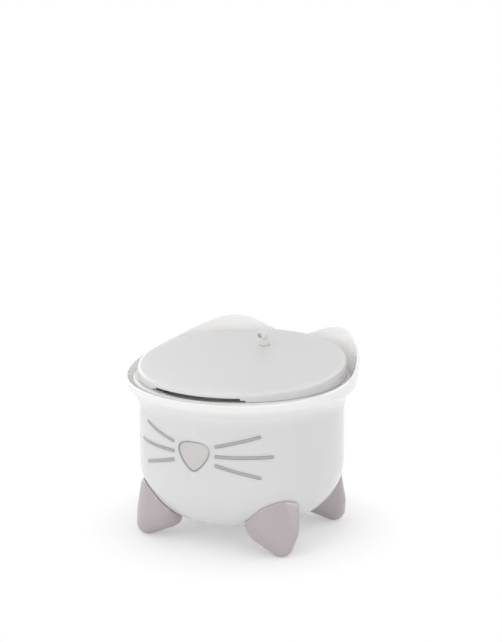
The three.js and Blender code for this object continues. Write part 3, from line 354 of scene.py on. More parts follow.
# Thin white fleece over the grains: fibres in three directions, the grains' colours showing through.
def fleeceFinish(name, s):
    finish, tree, shader, place = newFinish(name)
    fibres = 0.0
    for turn in (0.3, 1.35, 2.4):
        one = noiseOf(tree, stretchOf(tree, place, (3200, 260, 900), (0, 0, turn)), 1, 3, 0.6, 0.6)
        fibres = mathOf(tree, "MAXIMUM", fibres, one)
    parts = addNode(tree, "SeparateXYZ", {"Vector": place}).outputs
    side = levelsOf(tree, parts["X"], 0, 1, -s["seam"], s["seam"])
    blotch = noiseOf(tree, place, 330, 4, 0.75)
    seen = levelsOf(tree, blotch, *s["tint"], 0.36, 0.64)
    across = mathOf(tree, "ABSOLUTE", parts["X"])
    along = mathOf(tree, "ABSOLUTE", mathOf(tree, "ADD", parts["Y"], s["middle"]))
    for away in (across, along):  # the grains show only where a pod lies under the fleece
        for low, high in ((s["gapHalf"], s["gapHalf"] + s["blur"]), (s["podEnd"], s["podEnd"] - s["blur"])):
            seen = mathOf(tree, "MULTIPLY", seen, levelsOf(tree, away, 0, 1, low, high))
    body = blendOf(tree, seen, s["colour"], blendOf(tree, side, s["left"], s["right"]))
    lines = levelsOf(tree, fibres, 0, 0.4, 0.58, 0.82)
    feed(tree, shader, {
        "Base Color": blendOf(tree, lines, body, s["fibre"]), "Normal": bumpOf(tree, fibres, 0.5, 0.0004),
        "Roughness": 0.85, "Sheen Weight": 0.3, "Sheen Roughness": 0.6, "Subsurface Weight": 0.15,
        "Subsurface Radius": (0.003, 0.003, 0.003), "Subsurface Scale": 1})
    return finish


# Loose grains: cells of their own tone, each one domed, with painted shade darkening the gaps between them.
def grainFinish(name, s):
    finish, tree, shader, place = newFinish(name)
    cells = addNode(tree, "TexVoronoi", {"Vector": place, "Scale": s["scale"], "Randomness": 0.9}).outputs
    tone = addNode(tree, "SeparateColor", {"Color": cells["Color"]}).outputs
    mixed = blendOf(tree, tone["Red"], s["colour"], s["shade"])
    shown = blendOf(tree, levelsOf(tree, tone["Green"], 0, s["paleShare"], 0.7, 1), mixed, s["pale"])
    # painted shade: the gap colour darkens each cell towards its edge, where the grains meet
    gapShadeShare = levelsOf(tree, cells["Distance"], 0, 0.5, 0.35, 0.75)
    dome = mathOf(tree, "SUBTRACT", 1, cells["Distance"])
    feed(tree, shader, {
        "Base Color": blendOf(tree, gapShadeShare, shown, s["gap"]),
        "Roughness": levelsOf(tree, tone["Blue"], *s["rough"], 0, 1),
        "Normal": bumpOf(tree, dome, 0.8, 0.0006), "Subsurface Weight": s.get("soft", 0),
        "Subsurface Radius": (0.003, 0.002, 0.0015)})
    return finish


# Metals inside the pump and on the plug: fine drawn or layered lines.
def metalFinish(name, s):
    finish, tree, shader, place = newFinish(name)
    lines = noiseOf(tree, stretchOf(tree, place, s["stretch"]), 1, 2, 0.5)
    feed(tree, shader, {
        "Base Color": tonedOf(tree, lines, s), "Roughness": levelsOf(tree, lines, *s["rough"]),
        "Normal": bumpOf(tree, lines, s.get("bump", 0.3), 0.0002), "Metallic": s.get("metal", 1)})
    return finish


def lampFinish(name, s):
    finish, tree, shader, place = newFinish(name)
    glow = noiseOf(tree, place, 700, 2)
    shown = tonedOf(tree, glow, s)
    feed(tree, shader, {"Base Color": shown, "Emission Color": shown, "Emission Strength": s["glow"],
                        "Roughness": levelsOf(tree, glow, 0.12, 0.2)})
    return finish


finishes = {
    "shell": mouldedFinish("bowlGloss", {
        "colour": (0.93, 0.907, 0.897), "shade": (0.915, 0.892, 0.882), "rough": (0.16, 0.22),
        "coat": 0.35, "worn": (0.94, 0.93, 0.92), "wave": 0.008, "soft": 0.55}),
    "tray": mouldedFinish("traySatin", {
        "colour": (0.93, 0.922, 0.912), "shade": (0.915, 0.907, 0.897), "rough": (0.34, 0.42),
        "skin": 0.06, "soft": 0.55}),
    "lid": mouldedFinish("lidGloss", {
        "colour": (0.85, 0.838, 0.828), "shade": (0.835, 0.823, 0.813), "rough": (0.34, 0.42),
        "skin": 0.03, "wave": 0.004, "soft": 0.45}),
    "foot": mouldedFinish("footSatin", {
        "colour": (0.48, 0.43, 0.445), "shade": (0.455, 0.405, 0.42), "rough": (0.26, 0.34), "coat": 0.25,
        "coatRough": 0.18, "worn": (0.55, 0.5, 0.515), "skin": 0.03}),
    "whisker": mouldedFinish("whiskerGrey", {
        "colour": (0.43, 0.405, 0.41), "shade": (0.40, 0.375, 0.38), "rough": (0.28, 0.36),
        "worn": (0.46, 0.43, 0.44)}),
    "nose": clearFinish("noseSmoke", {
        "colour": (0.72, 0.69, 0.69), "shade": (0.68, 0.65, 0.655), "rough": (0.14, 0.2), "through": 0.15,
        "ior": 1.45}),
    "seal": siliconeFinish("sealGrey", {
        "colour": (0.42, 0.40, 0.405), "shade": (0.36, 0.34, 0.345), "rough": (0.55, 0.7), "soft": 0.05}),
    "silicone": siliconeFinish("capSilicone", {
        "colour": (0.96, 0.955, 0.945), "shade": (0.95, 0.945, 0.935), "rough": (0.38, 0.5),
        "soft": 0.15}),
    "spout": mouldedFinish("spoutSatin", {
        "colour": (0.75, 0.735, 0.725), "shade": (0.735, 0.72, 0.71), "rough": (0.34, 0.42), "skin": 0.01,
        "wave": 0.004}),
    "tube": siliconeFinish("tubeMilky", {
        "colour": (0.98, 0.965, 0.95), "shade": (0.97, 0.955, 0.94), "rough": (0.28, 0.36),
        "soft": 0.15}),
    "pump": mouldedFinish("pumpShell", {
        "colour": (0.77, 0.735, 0.745), "shade": (0.745, 0.71, 0.72), "rough": (0.34, 0.44), "skin": 0.05,
        "worn": (0.83, 0.80, 0.81)}),
    "light": lampFinish("redLight", {
        "colour": (0.9, 0.03, 0.03), "shade": (0.6, 0.01, 0.01), "glow": 0.9}),
    "board": mouldedFinish("boardGreen", {
        "colour": (0.04, 0.2, 0.1), "shade": (0.03, 0.15, 0.08), "rough": (0.3, 0.45), "skin": 0.15}),
    "fleece": fleeceFinish("filterFleece", {
        "colour": (0.96, 0.965, 0.955), "fibre": (0.97, 0.97, 0.965), "left": (0.52, 0.62, 0.55),
        "right": (0.97, 0.76, 0.60), "seam": 0.002, "tint": (0.0, 0.85), "middle": 0.05,
        "gapHalf": 0.0015, "podEnd": 0.0415, "blur": 0.002}),
    # the carbon and resin gap colours are painted shade between the grains
    "carbon": grainFinish("carbonGrains", {
        "scale": 900, "colour": (0.48, 0.50, 0.46), "shade": (0.31, 0.33, 0.30),
        "pale": (0.66, 0.68, 0.63), "paleShare": 0.8, "gap": (0.2, 0.215, 0.195), "rough": (0.6, 0.9)}),
    "resin": grainFinish("resinBeads", {
        "scale": 1000, "colour": (0.80, 0.62, 0.50), "shade": (0.72, 0.53, 0.41),
        "pale": (0.88, 0.76, 0.66), "paleShare": 0.7, "gap": (0.56, 0.40, 0.30), "rough": (0.35, 0.6),
        "soft": 0.2}),
    "laminations": metalFinish("coreSheets", {
        "stretch": (60, 60, 2600), "colour": (0.34, 0.35, 0.36), "shade": (0.2, 0.205, 0.21),
        "rough": (0.35, 0.55), "bump": 0.6}),
    "copper": metalFinish("woundCopper", {
        "stretch": (40, 40, 3000), "colour": (0.62, 0.28, 0.12), "shade": (0.34, 0.13, 0.05),
        "rough": (0.25, 0.4), "bump": 0.9}),
    "shaft": metalFinish("groundShaft", {
        "stretch": (900, 900, 60), "colour": (0.72, 0.72, 0.73), "shade": (0.62, 0.62, 0.63),
        "rough": (0.15, 0.25)}),
    "magnet": metalFinish("rotorFerrite", {
        "stretch": (700, 700, 700), "colour": (0.075, 0.075, 0.08), "shade": (0.04, 0.04, 0.045),
        "rough": (0.5, 0.7), "metal": 0.3}),
    "lead": siliconeFinish("leadJacket", {
        "colour": (0.76, 0.74, 0.745), "shade": (0.73, 0.71, 0.715), "rough": (0.36, 0.5), "soft": 0.1}),
    "plug": mouldedFinish("plugSatin", {
        "colour": (0.80, 0.79, 0.78), "shade": (0.77, 0.76, 0.75), "rough": (0.36, 0.46), "skin": 0.1}),
    "plugShell": metalFinish("plugPlate", {
        "stretch": (1500, 60, 60), "colour": (0.72, 0.72, 0.74), "shade": (0.64, 0.64, 0.66),
        "rough": (0.18, 0.28), "bump": 0.15}),
}
print("finishes made")


# Bowl
bowl = {
    "radius": 107.5, "wall": 2.8, "bottom": 19.5, "corner": 58, "steps": 216,
    "flare": [(107.5, 134), (108.6, 142), (111.3, 149), (115.6, 154.2), (119.2, 158.6), (121.2, 162.6),
              (122, 165.2)],
    "rimLine": [(122, 166.1), (121.55, 166.75), (120.85, 167), (120, 166.9), (119.35, 166.4),
                (119.2, 165.2)],
    "ledge": [(118.3, 162.6), (115.1, 159.2, 0.5), (107.2, 159.2, 0.6), (105.4, 150), (104.7, 134)],
    "rim": 167, "saddle": 180, "lean": 0.16, "liftFrom": 160, "liftFull": 165,
    "rimKnots": [  # degrees from the back, height
        (0, 180), (6, 184.5), (14, 191.5), (22, 198.6), (30.5, 202), (39, 200.2), (48, 194.6), (58, 187.6),
        (70, 181), (85, 175.2), (105, 170.4), (130, 167.8), (150, 167), (180, 167)],
    "ribs": [(110, 3), (158, 16)], "rooted": 1.4, "ribInner": 101.6, "ribBottom": 74, "ribTop": 157,
    "panelInner": 103, "panelHalf": 17, "panelTop": 138,
    "slotWidth": 4.6, "slotHeights": (148.5, 206), "slotReach": (100, 130),
    "dock": (44, 36, 35.6), "dockCentre": (-7.843, 43.59), "dockTurn": 47,
}


def rimHeight(fromBack, s):
    a = abs(fromBack)
    knots = s["rimKnots"]
    k = next((i for i, knot in enumerate(knots) if knot[0] >= a and i > 0), len(knots) - 1)
    (a0, z0), (a1, z1) = knots[k - 1], knots[k]
    t = (a - a0) / (a1 - a0)

    def slope(i):
        if k - 1 + i in (0, len(knots) - 1):
            return 0
        low, high = knots[k - 2 + i], knots[k + i]
        return (high[1] - low[1]) / (high[0] - low[0]) * (a1 - a0)

    return ((2 * t ** 3 - 3 * t ** 2 + 1) * z0 + (t ** 3 - 2 * t ** 2 + t) * slope(0)
            + (-2 * t ** 3 + 3 * t ** 2) * z1 + (t ** 3 - t ** 2) * slope(1))


def easeBetween(value, low, high):
    t = min(1, max(0, (value - low) / (high - low)))
    return t * t * (3 - 2 * t)


def bowlOutside(offset, top, steps=216):
    s = bowl
    line = [(0, s["bottom"] - offset)]
    centre = (s["radius"] - s["corner"], s["bottom"] + s["corner"])
    line += arcLine(centre, s["corner"] + offset, -90, 0, 24)
    line += [(s["radius"] + offset, top), (0, top)]
    return drum("bowlOutsideForm", line, steps)


def makeBowl(s):
    centre = (s["radius"] - s["corner"], s["bottom"] + s["corner"])
    outer = [(0, s["bottom"]), *arcLine(centre, s["corner"], -90, 0, 26)]
    outer += [(s["radius"], z) for z in (90, 105, 120)] + softCurve(s["flare"], 4)
    inner = roundCorners(s["ledge"], closed=False, steps=4)
    inner += [(s["radius"] - s["wall"], z) for z in (120, 105, 90)]
    inner += [*arcLine(centre, s["corner"] - s["wall"], 0, -90, 26), (0, s["bottom"] + s["wall"])]
    piece = drum("bowlShell", [*outer, *s["rimLine"], *inner], s["steps"])

    def lifted(co):
        x, y, z = co / mm
        radius = math.hypot(x, y)
        share = easeBetween(z, s["liftFrom"], s["liftFull"])
        lift = (rimHeight(math.degrees(math.atan2(x, y)), s) - s["rim"]) * share
        lean = s["lean"] * max(0, lift - (s["saddle"] - s["rim"]) * share)
        scale = (radius + lean) / radius if radius > 0 else 1
        return Vector((x * scale, y * scale, z + lift)) * mm

    reshape(piece, lifted)
    added = []
    root = s["radius"] - s["rooted"]
    for angle, width in s["ribs"]:
        turn = math.degrees(width / s["ribInner"])
        for side in (-1, 1):
            line = roundCorners([(s["ribInner"], s["ribBottom"], 1), (root, s["ribBottom"]),
                                 (root, s["ribTop"]), (s["ribInner"], s["ribTop"], 1.2)], steps=3)
            added.append(newMesh("wallRib", spun(line, 6, angle=turn, start=side * angle - 90 - turn / 2)))
    half = s["panelHalf"]
    line = roundCorners([(s["panelInner"], s["ribBottom"], 1), (root, s["ribBottom"]),
                         (root, s["panelTop"]), (s["panelInner"], s["panelTop"], 1)], steps=3)
    added.append(newMesh("leadPanel", spun(line, 20, angle=2 * half, start=90 - half)))
    width, length, top = s["dock"]
    dock = newMesh("pumpDock", raised(roundedBox(width, length, 4), s["bottom"] + s["rooted"], top))
    reshape(dock, lambda co: Matrix.Rotation(math.radians(s["dockTurn"]), 3, "Z") @ co
            + Vector((*s["dockCentre"], 0)) * mm)
    carve(dock, bowlOutside(-s["rooted"], 40, 96), how="INTERSECT")
    added.append(dock)
    carve(piece, *added, how="UNION")
    half = s["slotWidth"] / 2
    near, far = s["slotReach"]
    slot = newMesh("leadSlotForm", raised([(-half, near), (half, near), (half, far), (-half, far)],
                                          *s["slotHeights"]))
    cutters = [slot, nosePrism(0)]
    for side in (-1, 1):
        cutters += [whiskerForm("grooveForm", ends, side, gap) for ends in face["whiskers"].values()]
    carve(piece, *cutters)
    finishPiece(piece, "bowl", "shell", ["bowl_shell"], 34)


# Face on the bowl: window with its seal, three whiskers each side
face = {
    "nose": (36, 90.6, 122.6), "sealWidth": 0.9, "recess": 0.8,
    "noseShares": [(0.24, 0.045), (0.6, 0.235), (0.86, 0.44), (0.99, 0.63), (0.98, 0.78), (0.84, 0.89),
                   (0.52, 0.975)],
    "cutFrom": 95.5, "cutDepth": 14, "cutHeights": (70, 130),
    "whiskerRadius": 1.6, "whiskerDepth": 1.1, "whiskerSunk": 0.4,
    "whiskers": {"upper": (12.3, 119, 37.5, 130.4), "middle": (12.2, 109, 44.6, 108.3),
                 "lower": (12.3, 100, 37.8, 86.6)},
}


def noseOutline(shrink):
    width, bottom, top = face["nose"]
    right = [(out * width / 2, bottom + up * (top - bottom)) for out, up in face["noseShares"]]
    around = [(0, bottom), *right, (0, top), *[(-x, z) for x, z in reversed(right)]]
    steps = 4
    line = softCurve([*around[-2:], *around, *around[:2]], steps)[2 * steps:(2 + len(around)) * steps]
    moved = []
    for i, here in enumerate(line):
        along = (line[(i + 1) % len(line)] - line[i - 1]).normalized()
        moved.append(here + Vector((-along.y, along.x)) * shrink)
    return moved


def nosePrism(shrink):
    bm = raised(noseOutline(shrink), 0, face["cutDepth"])
    bmesh.ops.rotate(bm, cent=(0, 0, 0), matrix=Matrix.Rotation(math.radians(90), 3, "X"), verts=bm.verts)
    bmesh.ops.translate(bm, verts=bm.verts, vec=(0, -face["cutFrom"] * mm, 0))
    return newMesh("noseForm", bm)


def wallRing(inner, outer):
    low, high = face["cutHeights"]
    return drum("wallRingForm", [(inner, low), (outer, low), (outer, high), (inner, high)], 240)


def whiskerForm(name, ends, side, grow):
    angle0, z0, angle1, z1 = ends
    bowlRadius, radius = bowl["radius"], face["whiskerRadius"] + grow
    run, rise = math.radians(angle1 - angle0) * bowlRadius, z1 - z0
    length = math.hypot(run, rise) + 2 * grow
    bm = bmesh.new()
    bmesh.ops.create_uvsphere(bm, u_segments=20, v_segments=44, radius=1)
    for v in bm.verts:
        along = v.co.z * length / 2
        beyond = max(0, abs(along) - (length / 2 - radius)) / radius
        out = Vector((v.co.x, v.co.y))
        girth = radius * math.sqrt(max(0, 1 - beyond ** 2))
        out = out.normalized() * girth if out.length > 1e-6 else out * 0
        depth = out.y * (face["whiskerDepth"] + grow) / radius
        centred = along / (length - 2 * grow) + 0.5
        s = math.radians(angle0) * bowlRadius + run * centred - out.x * rise / length
        z = z0 + rise * centred + out.x * run / length
        reach = bowlRadius - face["whiskerSunk"] + depth
        v.co = Vector((side * reach * math.sin(s / bowlRadius), -reach * math.cos(s / bowlRadius), z)) * mm
    bmesh.ops.remove_doubles(bm, verts=bm.verts, dist=0.001 * mm)
    return newMesh(name, bm)


def makeFace(s):
    seal = s["sealWidth"]
    sealPiece = nosePrism(gap)
    sealPiece.name = "noseSeal"
    carve(sealPiece, nosePrism(gap + seal))
    carve(sealPiece, wallRing(bowl["radius"] - bowl["wall"], bowl["radius"] - gap), how="INTERSECT")
    finishPiece(sealPiece, "bowl", "seal", ["nose_seal"], 34)
    window = nosePrism(2 * gap + seal)
    window.name = "noseWindow"
    carve(window, wallRing(bowl["radius"] - bowl["wall"] - s["recess"], bowl["radius"] - s["recess"]),
          how="INTERSECT")
    finishPiece(window, "bowl", "nose", ["nose_window"], 34)
    for sideName, side in (("left", -1), ("right", 1)):
        for name, ends in s["whiskers"].items():
            node = f"whisker_{sideName}_{name}"
            finishPiece(whiskerForm(node + "_bar", ends, side, 0), "bowl", "whisker", [node],
                        60)


makeBowl(bowl)
makeFace(face)
print("bowl and face made")


# Feet
feet = {
    "angle": 45, "inside": 72, "top": 80, "floor": (140, -20), "voxel": 1.0, "smoothing": 6,
    "fineVoxel": 0.9, "edgeSmoothing": 9,
    "balls": [  # towards the side, out from the axis, height, radius
        (10, 100.4, 11.5, 12.5), (19, 100.5, 25, 9.5), (23.5, 98.5, 40, 6.5), (23, 98, 51, 6),
        (12, 101, 55.5, 6), (1, 100.8, 54.5, 6), (-9, 98.5, 50, 6), (-15, 93.5, 43, 6),
        (-18.5, 86.5, 35.5, 6.5), (-11, 91, 27, 7), (-1, 96.5, 18, 9.5), (2, 84, 32, 25), (0, 80, 22, 5)],
    "places": [("front_right", 1, 1), ("front_left", -1, 1), ("rear_right", 1, -1), ("rear_left", -1, -1)],
}


def softened(piece, voxel, rounds):
    change = piece.modifiers.new("evenMesh", "REMESH")
    change.mode = "VOXEL"
    change.voxel_size = voxel * mm
    change = piece.modifiers.new("softForm", "SMOOTH")
    change.factor = 0.5
    change.iterations = rounds
    applyAll(piece)


def makeFeet(s):
    bm = bmesh.new()
    for across, out, height, radius in s["balls"]:
        bmesh.ops.create_icosphere(bm, subdivisions=3, radius=radius * mm,
                                   matrix=Matrix.Translation(Vector((across, -out, height)) * mm))
    bmesh.ops.convex_hull(bm, input=bm.verts, use_existing_faces=False)
    inside = [v for v in bm.verts if not v.link_faces]
    bmesh.ops.delete(bm, geom=inside, context="VERTS")
    first = newMesh("footForm", bm, True)
    softened(first, s["voxel"], s["smoothing"])
    core = rod("footInsideForm", s["inside"], -1, s["top"], 96)
    reach, low = s["floor"]
    carve(first, bowlOutside(gap, s["top"]), core, rod("floorForm", reach, low, 0, 32))
    softened(first, s["fineVoxel"], s["edgeSmoothing"])
    for name, sideX, sideY in s["places"]:
        piece = addObject(f"foot_{name}_pad", first.data.copy())
        turn = Matrix.Rotation(math.radians(s["angle"]), 4, "Z")
        piece.data.transform(Matrix.Diagonal((sideX, sideY, 1, 1)) @ turn)
        if sideX * sideY < 0:
            piece.data.flip_normals()
        finishPiece(piece, "bowl", "foot", [f"foot_{name}"], 40)
    bpy.data.objects.remove(first)


makeFeet(feet)
print("feet made")


# Tray with its dish, filter pocket, finger holes and collar
tray = {
    "top": 166.5, "radius": 113.7, "skirt": 7, "wall": 2.4, "edge": 1.6,
    "dish": (75, -33, 4), "pocket": (87, 12, -50, 26), "pocketWall": 2.4, "seat": (93.6, 2.6, 1.5),
    "drain": (3.4, 52, 7, 9), "centrePost": (7.6, 4.8), "fingerHole": (11, 66, 40),
    "riserY": 52, "socketHole": (19.5, 20.9, 14), "sunk": 0.3,
}
riserAxis = (0, tray["riserY"])


def makeTray(s):
    top, wall = s["top"], s["wall"]
    pan = roundCorners([(0, 0), (s["radius"], 0, s["edge"]), (s["radius"], -s["skirt"], 0.6),
                        (s["radius"] - wall, -s["skirt"], 0.6), (s["radius"] - wall, -wall, 1), (0, -wall)],
                       closed=False, steps=6)
    piece = drum("trayDeck", pan, 192, base=top)
    dishRadius, dishY, dishDepth = s["dish"]
    size, corner, pocketY, depth = s["pocket"]
    seat, seatDepth, seatWall = s["seat"]
    rib = s["pocketWall"]
    at = (0, pocketY)
    dishZ, floor, seatFloor = top - dishDepth, -dishDepth - depth, -dishDepth - seatDepth
    line = roundCorners([(0, -dishDepth - wall), (dishRadius + wall, -dishDepth - wall, 3),
                         (dishRadius + wall, -s["sunk"]), (0, -s["sunk"])], closed=False)
    under = drum("dishUnder", line, 160, (0, dishY), top)
    box = block("pocketUnder", size + 2 * rib, corner + rib, top + floor - rib, dishZ, at)
    shelf = block("seatUnder", seat + 2 * seatWall, corner + seatWall, top + seatFloor - rib, dishZ, at)
    carve(piece, under, box, shelf, how="UNION")
    line = roundCorners([(0, -dishDepth), (dishRadius, -dishDepth, 3), (dishRadius, -0.9, 1.2),
                         (dishRadius + 1.2, 0.02), (dishRadius + 1.2, over), (0, over)], closed=False)
    cutters = [drum("dishForm", line, 160, (0, dishY), top),
               block("pocketForm", size, corner, top + floor, top + over, at),
               block("seatForm", seat, corner, top + seatFloor, top + over, at)]
    width, length, count, pitch = s["drain"]
    for i in range(count):
        if i != (count - 1) // 2:
            cutters.append(newMesh("drainForm", raised(
                roundedBox(width, length, width / 2 - 0.1, 4), top + floor - rib - 1, top + floor + 1,
                ((i - (count - 1) / 2) * pitch, pocketY))))
    holeRadius, holeX, holeY = s["fingerHole"]
    for side in (-1, 1):
        line = roundCorners([(0, -s["skirt"]), (holeRadius, -s["skirt"]), (holeRadius, -0.8, 1),
                             (holeRadius + 1, 0.02), (holeRadius + 1, over), (0, over)],
                            closed=False, steps=4)
        cutters.append(drum("fingerHoleForm", line, 64, (side * holeX, holeY), top))
    narrow, wide, deep = s["socketHole"]
    line = [(0, -deep), (narrow, -deep), (narrow, -dishDepth), (wide, -dishDepth), (wide, over), (0, over)]
    carve(piece, *cutters, drum("socketForm", line, 72, (0, s["riserY"]), top))
    outer, inner = s["centrePost"]
    foot = floor - s["sunk"]
    line = roundCorners([(inner, foot), (outer, foot), (outer, seatFloor, 1),
                         (inner, seatFloor, 0.6)], steps=4)
    carve(piece, drum("centrePost", line, 48, at, top), how="UNION")
    finishPiece(piece, "tray", "tray", ["tray_deck"], 30)


# Socket let into the deck: the tube pushes into it from below, the cap sits on its collar
socket = {"bottom": 118, "tubeBore": 6.2, "step": 124.4, "taper": 1.2, "bore": 5, "stem": 8, "foot": 19.2,
          "flange": 20.6, "flangeBottom": -3.7, "footBottom": -6.4, "collar": 11, "collarHeight": 9}


def makeSocket(s):
    top = tray["top"]
    line = roundCorners([(s["tubeBore"], s["bottom"] - top, 0.4), (s["stem"], s["bottom"] - top, 0.6),
                         (s["stem"], s["footBottom"], 1.5), (s["foot"], s["footBottom"], 0.4),
                         (s["foot"], s["flangeBottom"]), (s["flange"], s["flangeBottom"]),
                         (s["flange"], 0, 0.5), (s["collar"], 0, 0.6), (s["collar"], s["collarHeight"], 0.6),
                         (s["bore"], s["collarHeight"], 0.5), (s["bore"], s["step"] - top + s["taper"]),
                         (s["tubeBore"], s["step"] - top)], steps=4)
    piece = drum("riserSocket", line, 72, riserAxis, top)
    finishPiece(piece, "tray", "tray", ["riser_socket"], 34)


cap = {"radius": 16.5, "flange": 20.4, "flangeTop": 3.4, "height": 14.8, "bore": 5.7, "collar": 11.3,
       "ringRadius": 12.1, "ringSection": 1.7, "ringX": 30.8, "pinHeight": 12.3, "pin": 1.1,
       "pinLength": 5.6, "pinDepth": 3}


def makeCap(s):
    radius, bore, height, collar, flange = s["radius"], s["bore"], s["height"], s["collar"], s["flange"]
    fillet, roof = s["flangeTop"], socket["collarHeight"] + gap
    line = roundCorners([(collar, gap, 0.2), (flange, gap, 0.8), (flange, fillet, 2),
                         (radius + 1.1, fillet + 2.2, 1.2), (radius, fillet + 4, 0.8), (radius, height, 3.6),
                         (bore + 3.4, height, 1.2), (bore + 2.6, height - 0.7, 0.8),
                         (bore, height - 0.9, 0.8), (bore, roof, 0.2), (collar, roof, 0.2)], steps=5)
    piece = drum("collarCap", line, 96, riserAxis, tray["top"])
    hole = rod("pinHoleForm", s["pin"] + gap, 0, s["pinLength"], 24)
    line = roundCorners([(0, 0), (s["pin"], 0, 0.3), (s["pin"], s["pinLength"]), (0, s["pinLength"])],
                        closed=False)
    pin = drum("ringPin", line, 24)
    x, z = radius - s["pinDepth"], tray["top"] + s["pinHeight"]
    for form, start in ((hole, x - gap), (pin, x)):
        form.data.transform(Matrix.Translation(Vector((start, tray["riserY"], z)) * mm)
                            @ Matrix.Rotation(math.radians(90), 4, "Y"))
    carve(piece, hole)
    finishPiece(piece, "tray", "silicone", ["collar_cap"], 40)
    bm = bmesh.new()
    bmesh.ops.create_circle(bm, segments=20, radius=s["ringSection"] * mm,
                            matrix=Matrix.Translation((s["ringRadius"] * mm, 0, 0))
                            @ Matrix.Rotation(math.radians(90), 4, "X"))
    bmesh.ops.spin(bm, geom=[*bm.verts, *bm.edges], cent=(0, 0, 0), axis=(0, 0, 1), angle=math.radians(360),
                   steps=72, use_merge=True)
    bmesh.ops.remove_doubles(bm, verts=bm.verts, dist=0.001 * mm)
    bmesh.ops.translate(bm, verts=bm.verts, vec=Vector((s["ringX"], tray["riserY"], z)) * mm)
    ring = newMesh("pullRing", bm)
    carve(ring, pin, how="UNION")
    finishPiece(ring, "pull_ring_body", "silicone", ["pull_ring"], 40)


makeTray(tray)
makeSocket(socket)
makeCap(cap)
print("tray, socket, cap and pull ring made")


# Lid
lid = {"bottom": 166.8, "radius": 108.8, "wall": 2.2, "height": 16.1, "slope": 4.5, "edge": 3.4,
       "skirtZone": 6, "hole": 5.8, "notch": (48, 3.8), "step": (53, 1.9),
       "notchReach": (-120, -54)}


def makeLid(s):
    radius, height, wall = s["radius"], s["height"], s["wall"]
    line = roundCorners([(0, height), (radius, height, s["edge"]), (radius, 0, 0.6),
                         (radius - wall, 0, 0.6), (radius - wall, height - wall, 2), (0, height - wall)],
                        closed=False, steps=8)
    top = height - s["skirtZone"]
    extra = [Vector((radius, top * share)) for share in (1, 0.8, 0.5, 0.2)]
    place = next(i for i, p in enumerate(line) if p[1] < top and p[0] > radius - 0.1)
    piece = drum("lidPlate", line[:place] + extra + line[place:], 192, base=s["bottom"])

    def sloped(co):
        share = min(1, max(0, (co.z / mm - s["bottom"]) / top))
        return Vector((co.x, co.y, co.z + co.y * math.tan(math.radians(s["slope"])) * share))

    reshape(piece, sloped)
    cutters = [rod("spoutHoleForm", s["hole"], 0, 2 * height, 64, riserAxis, s["bottom"])]
    far, near = s["notchReach"]
    for half, rise in (s["notch"], s["step"]):
        cutters.append(newMesh("notchForm", raised([(-half, far), (half, far), (half, near), (-half, near)],
                                                   s["bottom"] - 1, s["bottom"] + rise)))
    carve(piece, *cutters)
    finishPiece(piece, "lid", "lid", ["lid_plate"], 32)


# Spout: sleeve, sealing ring and turning elbow
spout = {"bottom": 176.4, "sleeve": 5.2, "length": 10.5, "groove": (1.6, 3.6, 0.6), "spigot": 3.9,
         "spigotLength": 7, "radius": 4.6, "bore": 2.9, "bend": 6.4, "rise": 12.6, "reach": 3.4, "dip": 8,
         "seal": (0.42, 0.68), "sealSunk": 0.1}


def makeSpout(s):
    low, high, deep = s["groove"]
    outer, inner = s["sleeve"], s["spigot"] + gap
    line = roundCorners([(inner, 0, 0.2), (outer, 0, 0.5), (outer, low), (outer - deep, low),
                         (outer - deep, high), (outer, high), (outer, s["length"], 0.5),
                         (inner, s["length"], 0.3)], steps=4)
    sleeve = drum("spoutSleeve", line, 56, riserAxis, s["bottom"])
    finishPiece(sleeve, "spout", "spout", ["spout_sleeve"], 34)
    middle = (low + high) / 2
    across, along = s["seal"]
    line = [(outer - s["sealSunk"] + across * math.cos(math.radians(a)),
             middle + along * math.sin(math.radians(a))) for a in range(0, 360, 30)]
    seal = drum("spoutSealRing", line, 56, riserAxis, s["bottom"])
    finishPiece(seal, "spout", "silicone", ["spout_seal"], 60)

    def bentTube(name, radius, past):
        bm = bmesh.new()
        start = s["length"] + gap - past
        bmesh.ops.create_circle(bm, cap_ends=True, segments=36, radius=radius * mm,
                                matrix=Matrix.Translation((0, 0, start * mm)))
        bendZ = s["length"] + s["rise"] - s["bend"]
        bm.faces.ensure_lookup_table()
        tip = movedOn(bm, bm.faces[0], (0, 0, (bendZ - start) * mm))
        made = bmesh.ops.spin(bm, geom=[tip, *tip.edges, *tip.verts], cent=(0, -s["bend"] * mm, bendZ * mm),
                              axis=(1, 0, 0), angle=math.radians(90 + s["dip"]), steps=18)
        tip = [g for g in made["geom_last"] if isinstance(g, bmesh.types.BMFace)][0]
        dip = math.radians(s["dip"])
        reach = s["reach"] + past
        movedOn(bm, tip, (0, -reach * math.cos(dip) * mm, -reach * math.sin(dip) * mm))
        bmesh.ops.translate(bm, verts=bm.verts, vec=Vector((0, tray["riserY"], s["bottom"])) * mm)
        return newMesh(name, bm)

    elbow = bentTube("spoutElbow", s["radius"], 0)
    low = s["bottom"] + s["length"] - s["spigotLength"]
    line = roundCorners([(0, 0), (s["spigot"], 0, 0.3), (s["spigot"], s["spigotLength"] + 1.5),
                         (0, s["spigotLength"] + 1.5)], closed=False)
    carve(elbow, drum("spigotForm", line, 48, riserAxis, low), how="UNION")
    through = rod("waterWay", s["bore"], -1, s["spigotLength"] + 3, 36, riserAxis, low)
    carve(elbow, through, bentTube("waterBend", s["bore"], 1))
    finishPiece(elbow, "elbow", "spout", ["spout_elbow"], 40)


# Milky riser tube
riser = {"bore": 4.75, "outer": 5.9, "bead": 6.1, "bottom": 78, "top": 124}


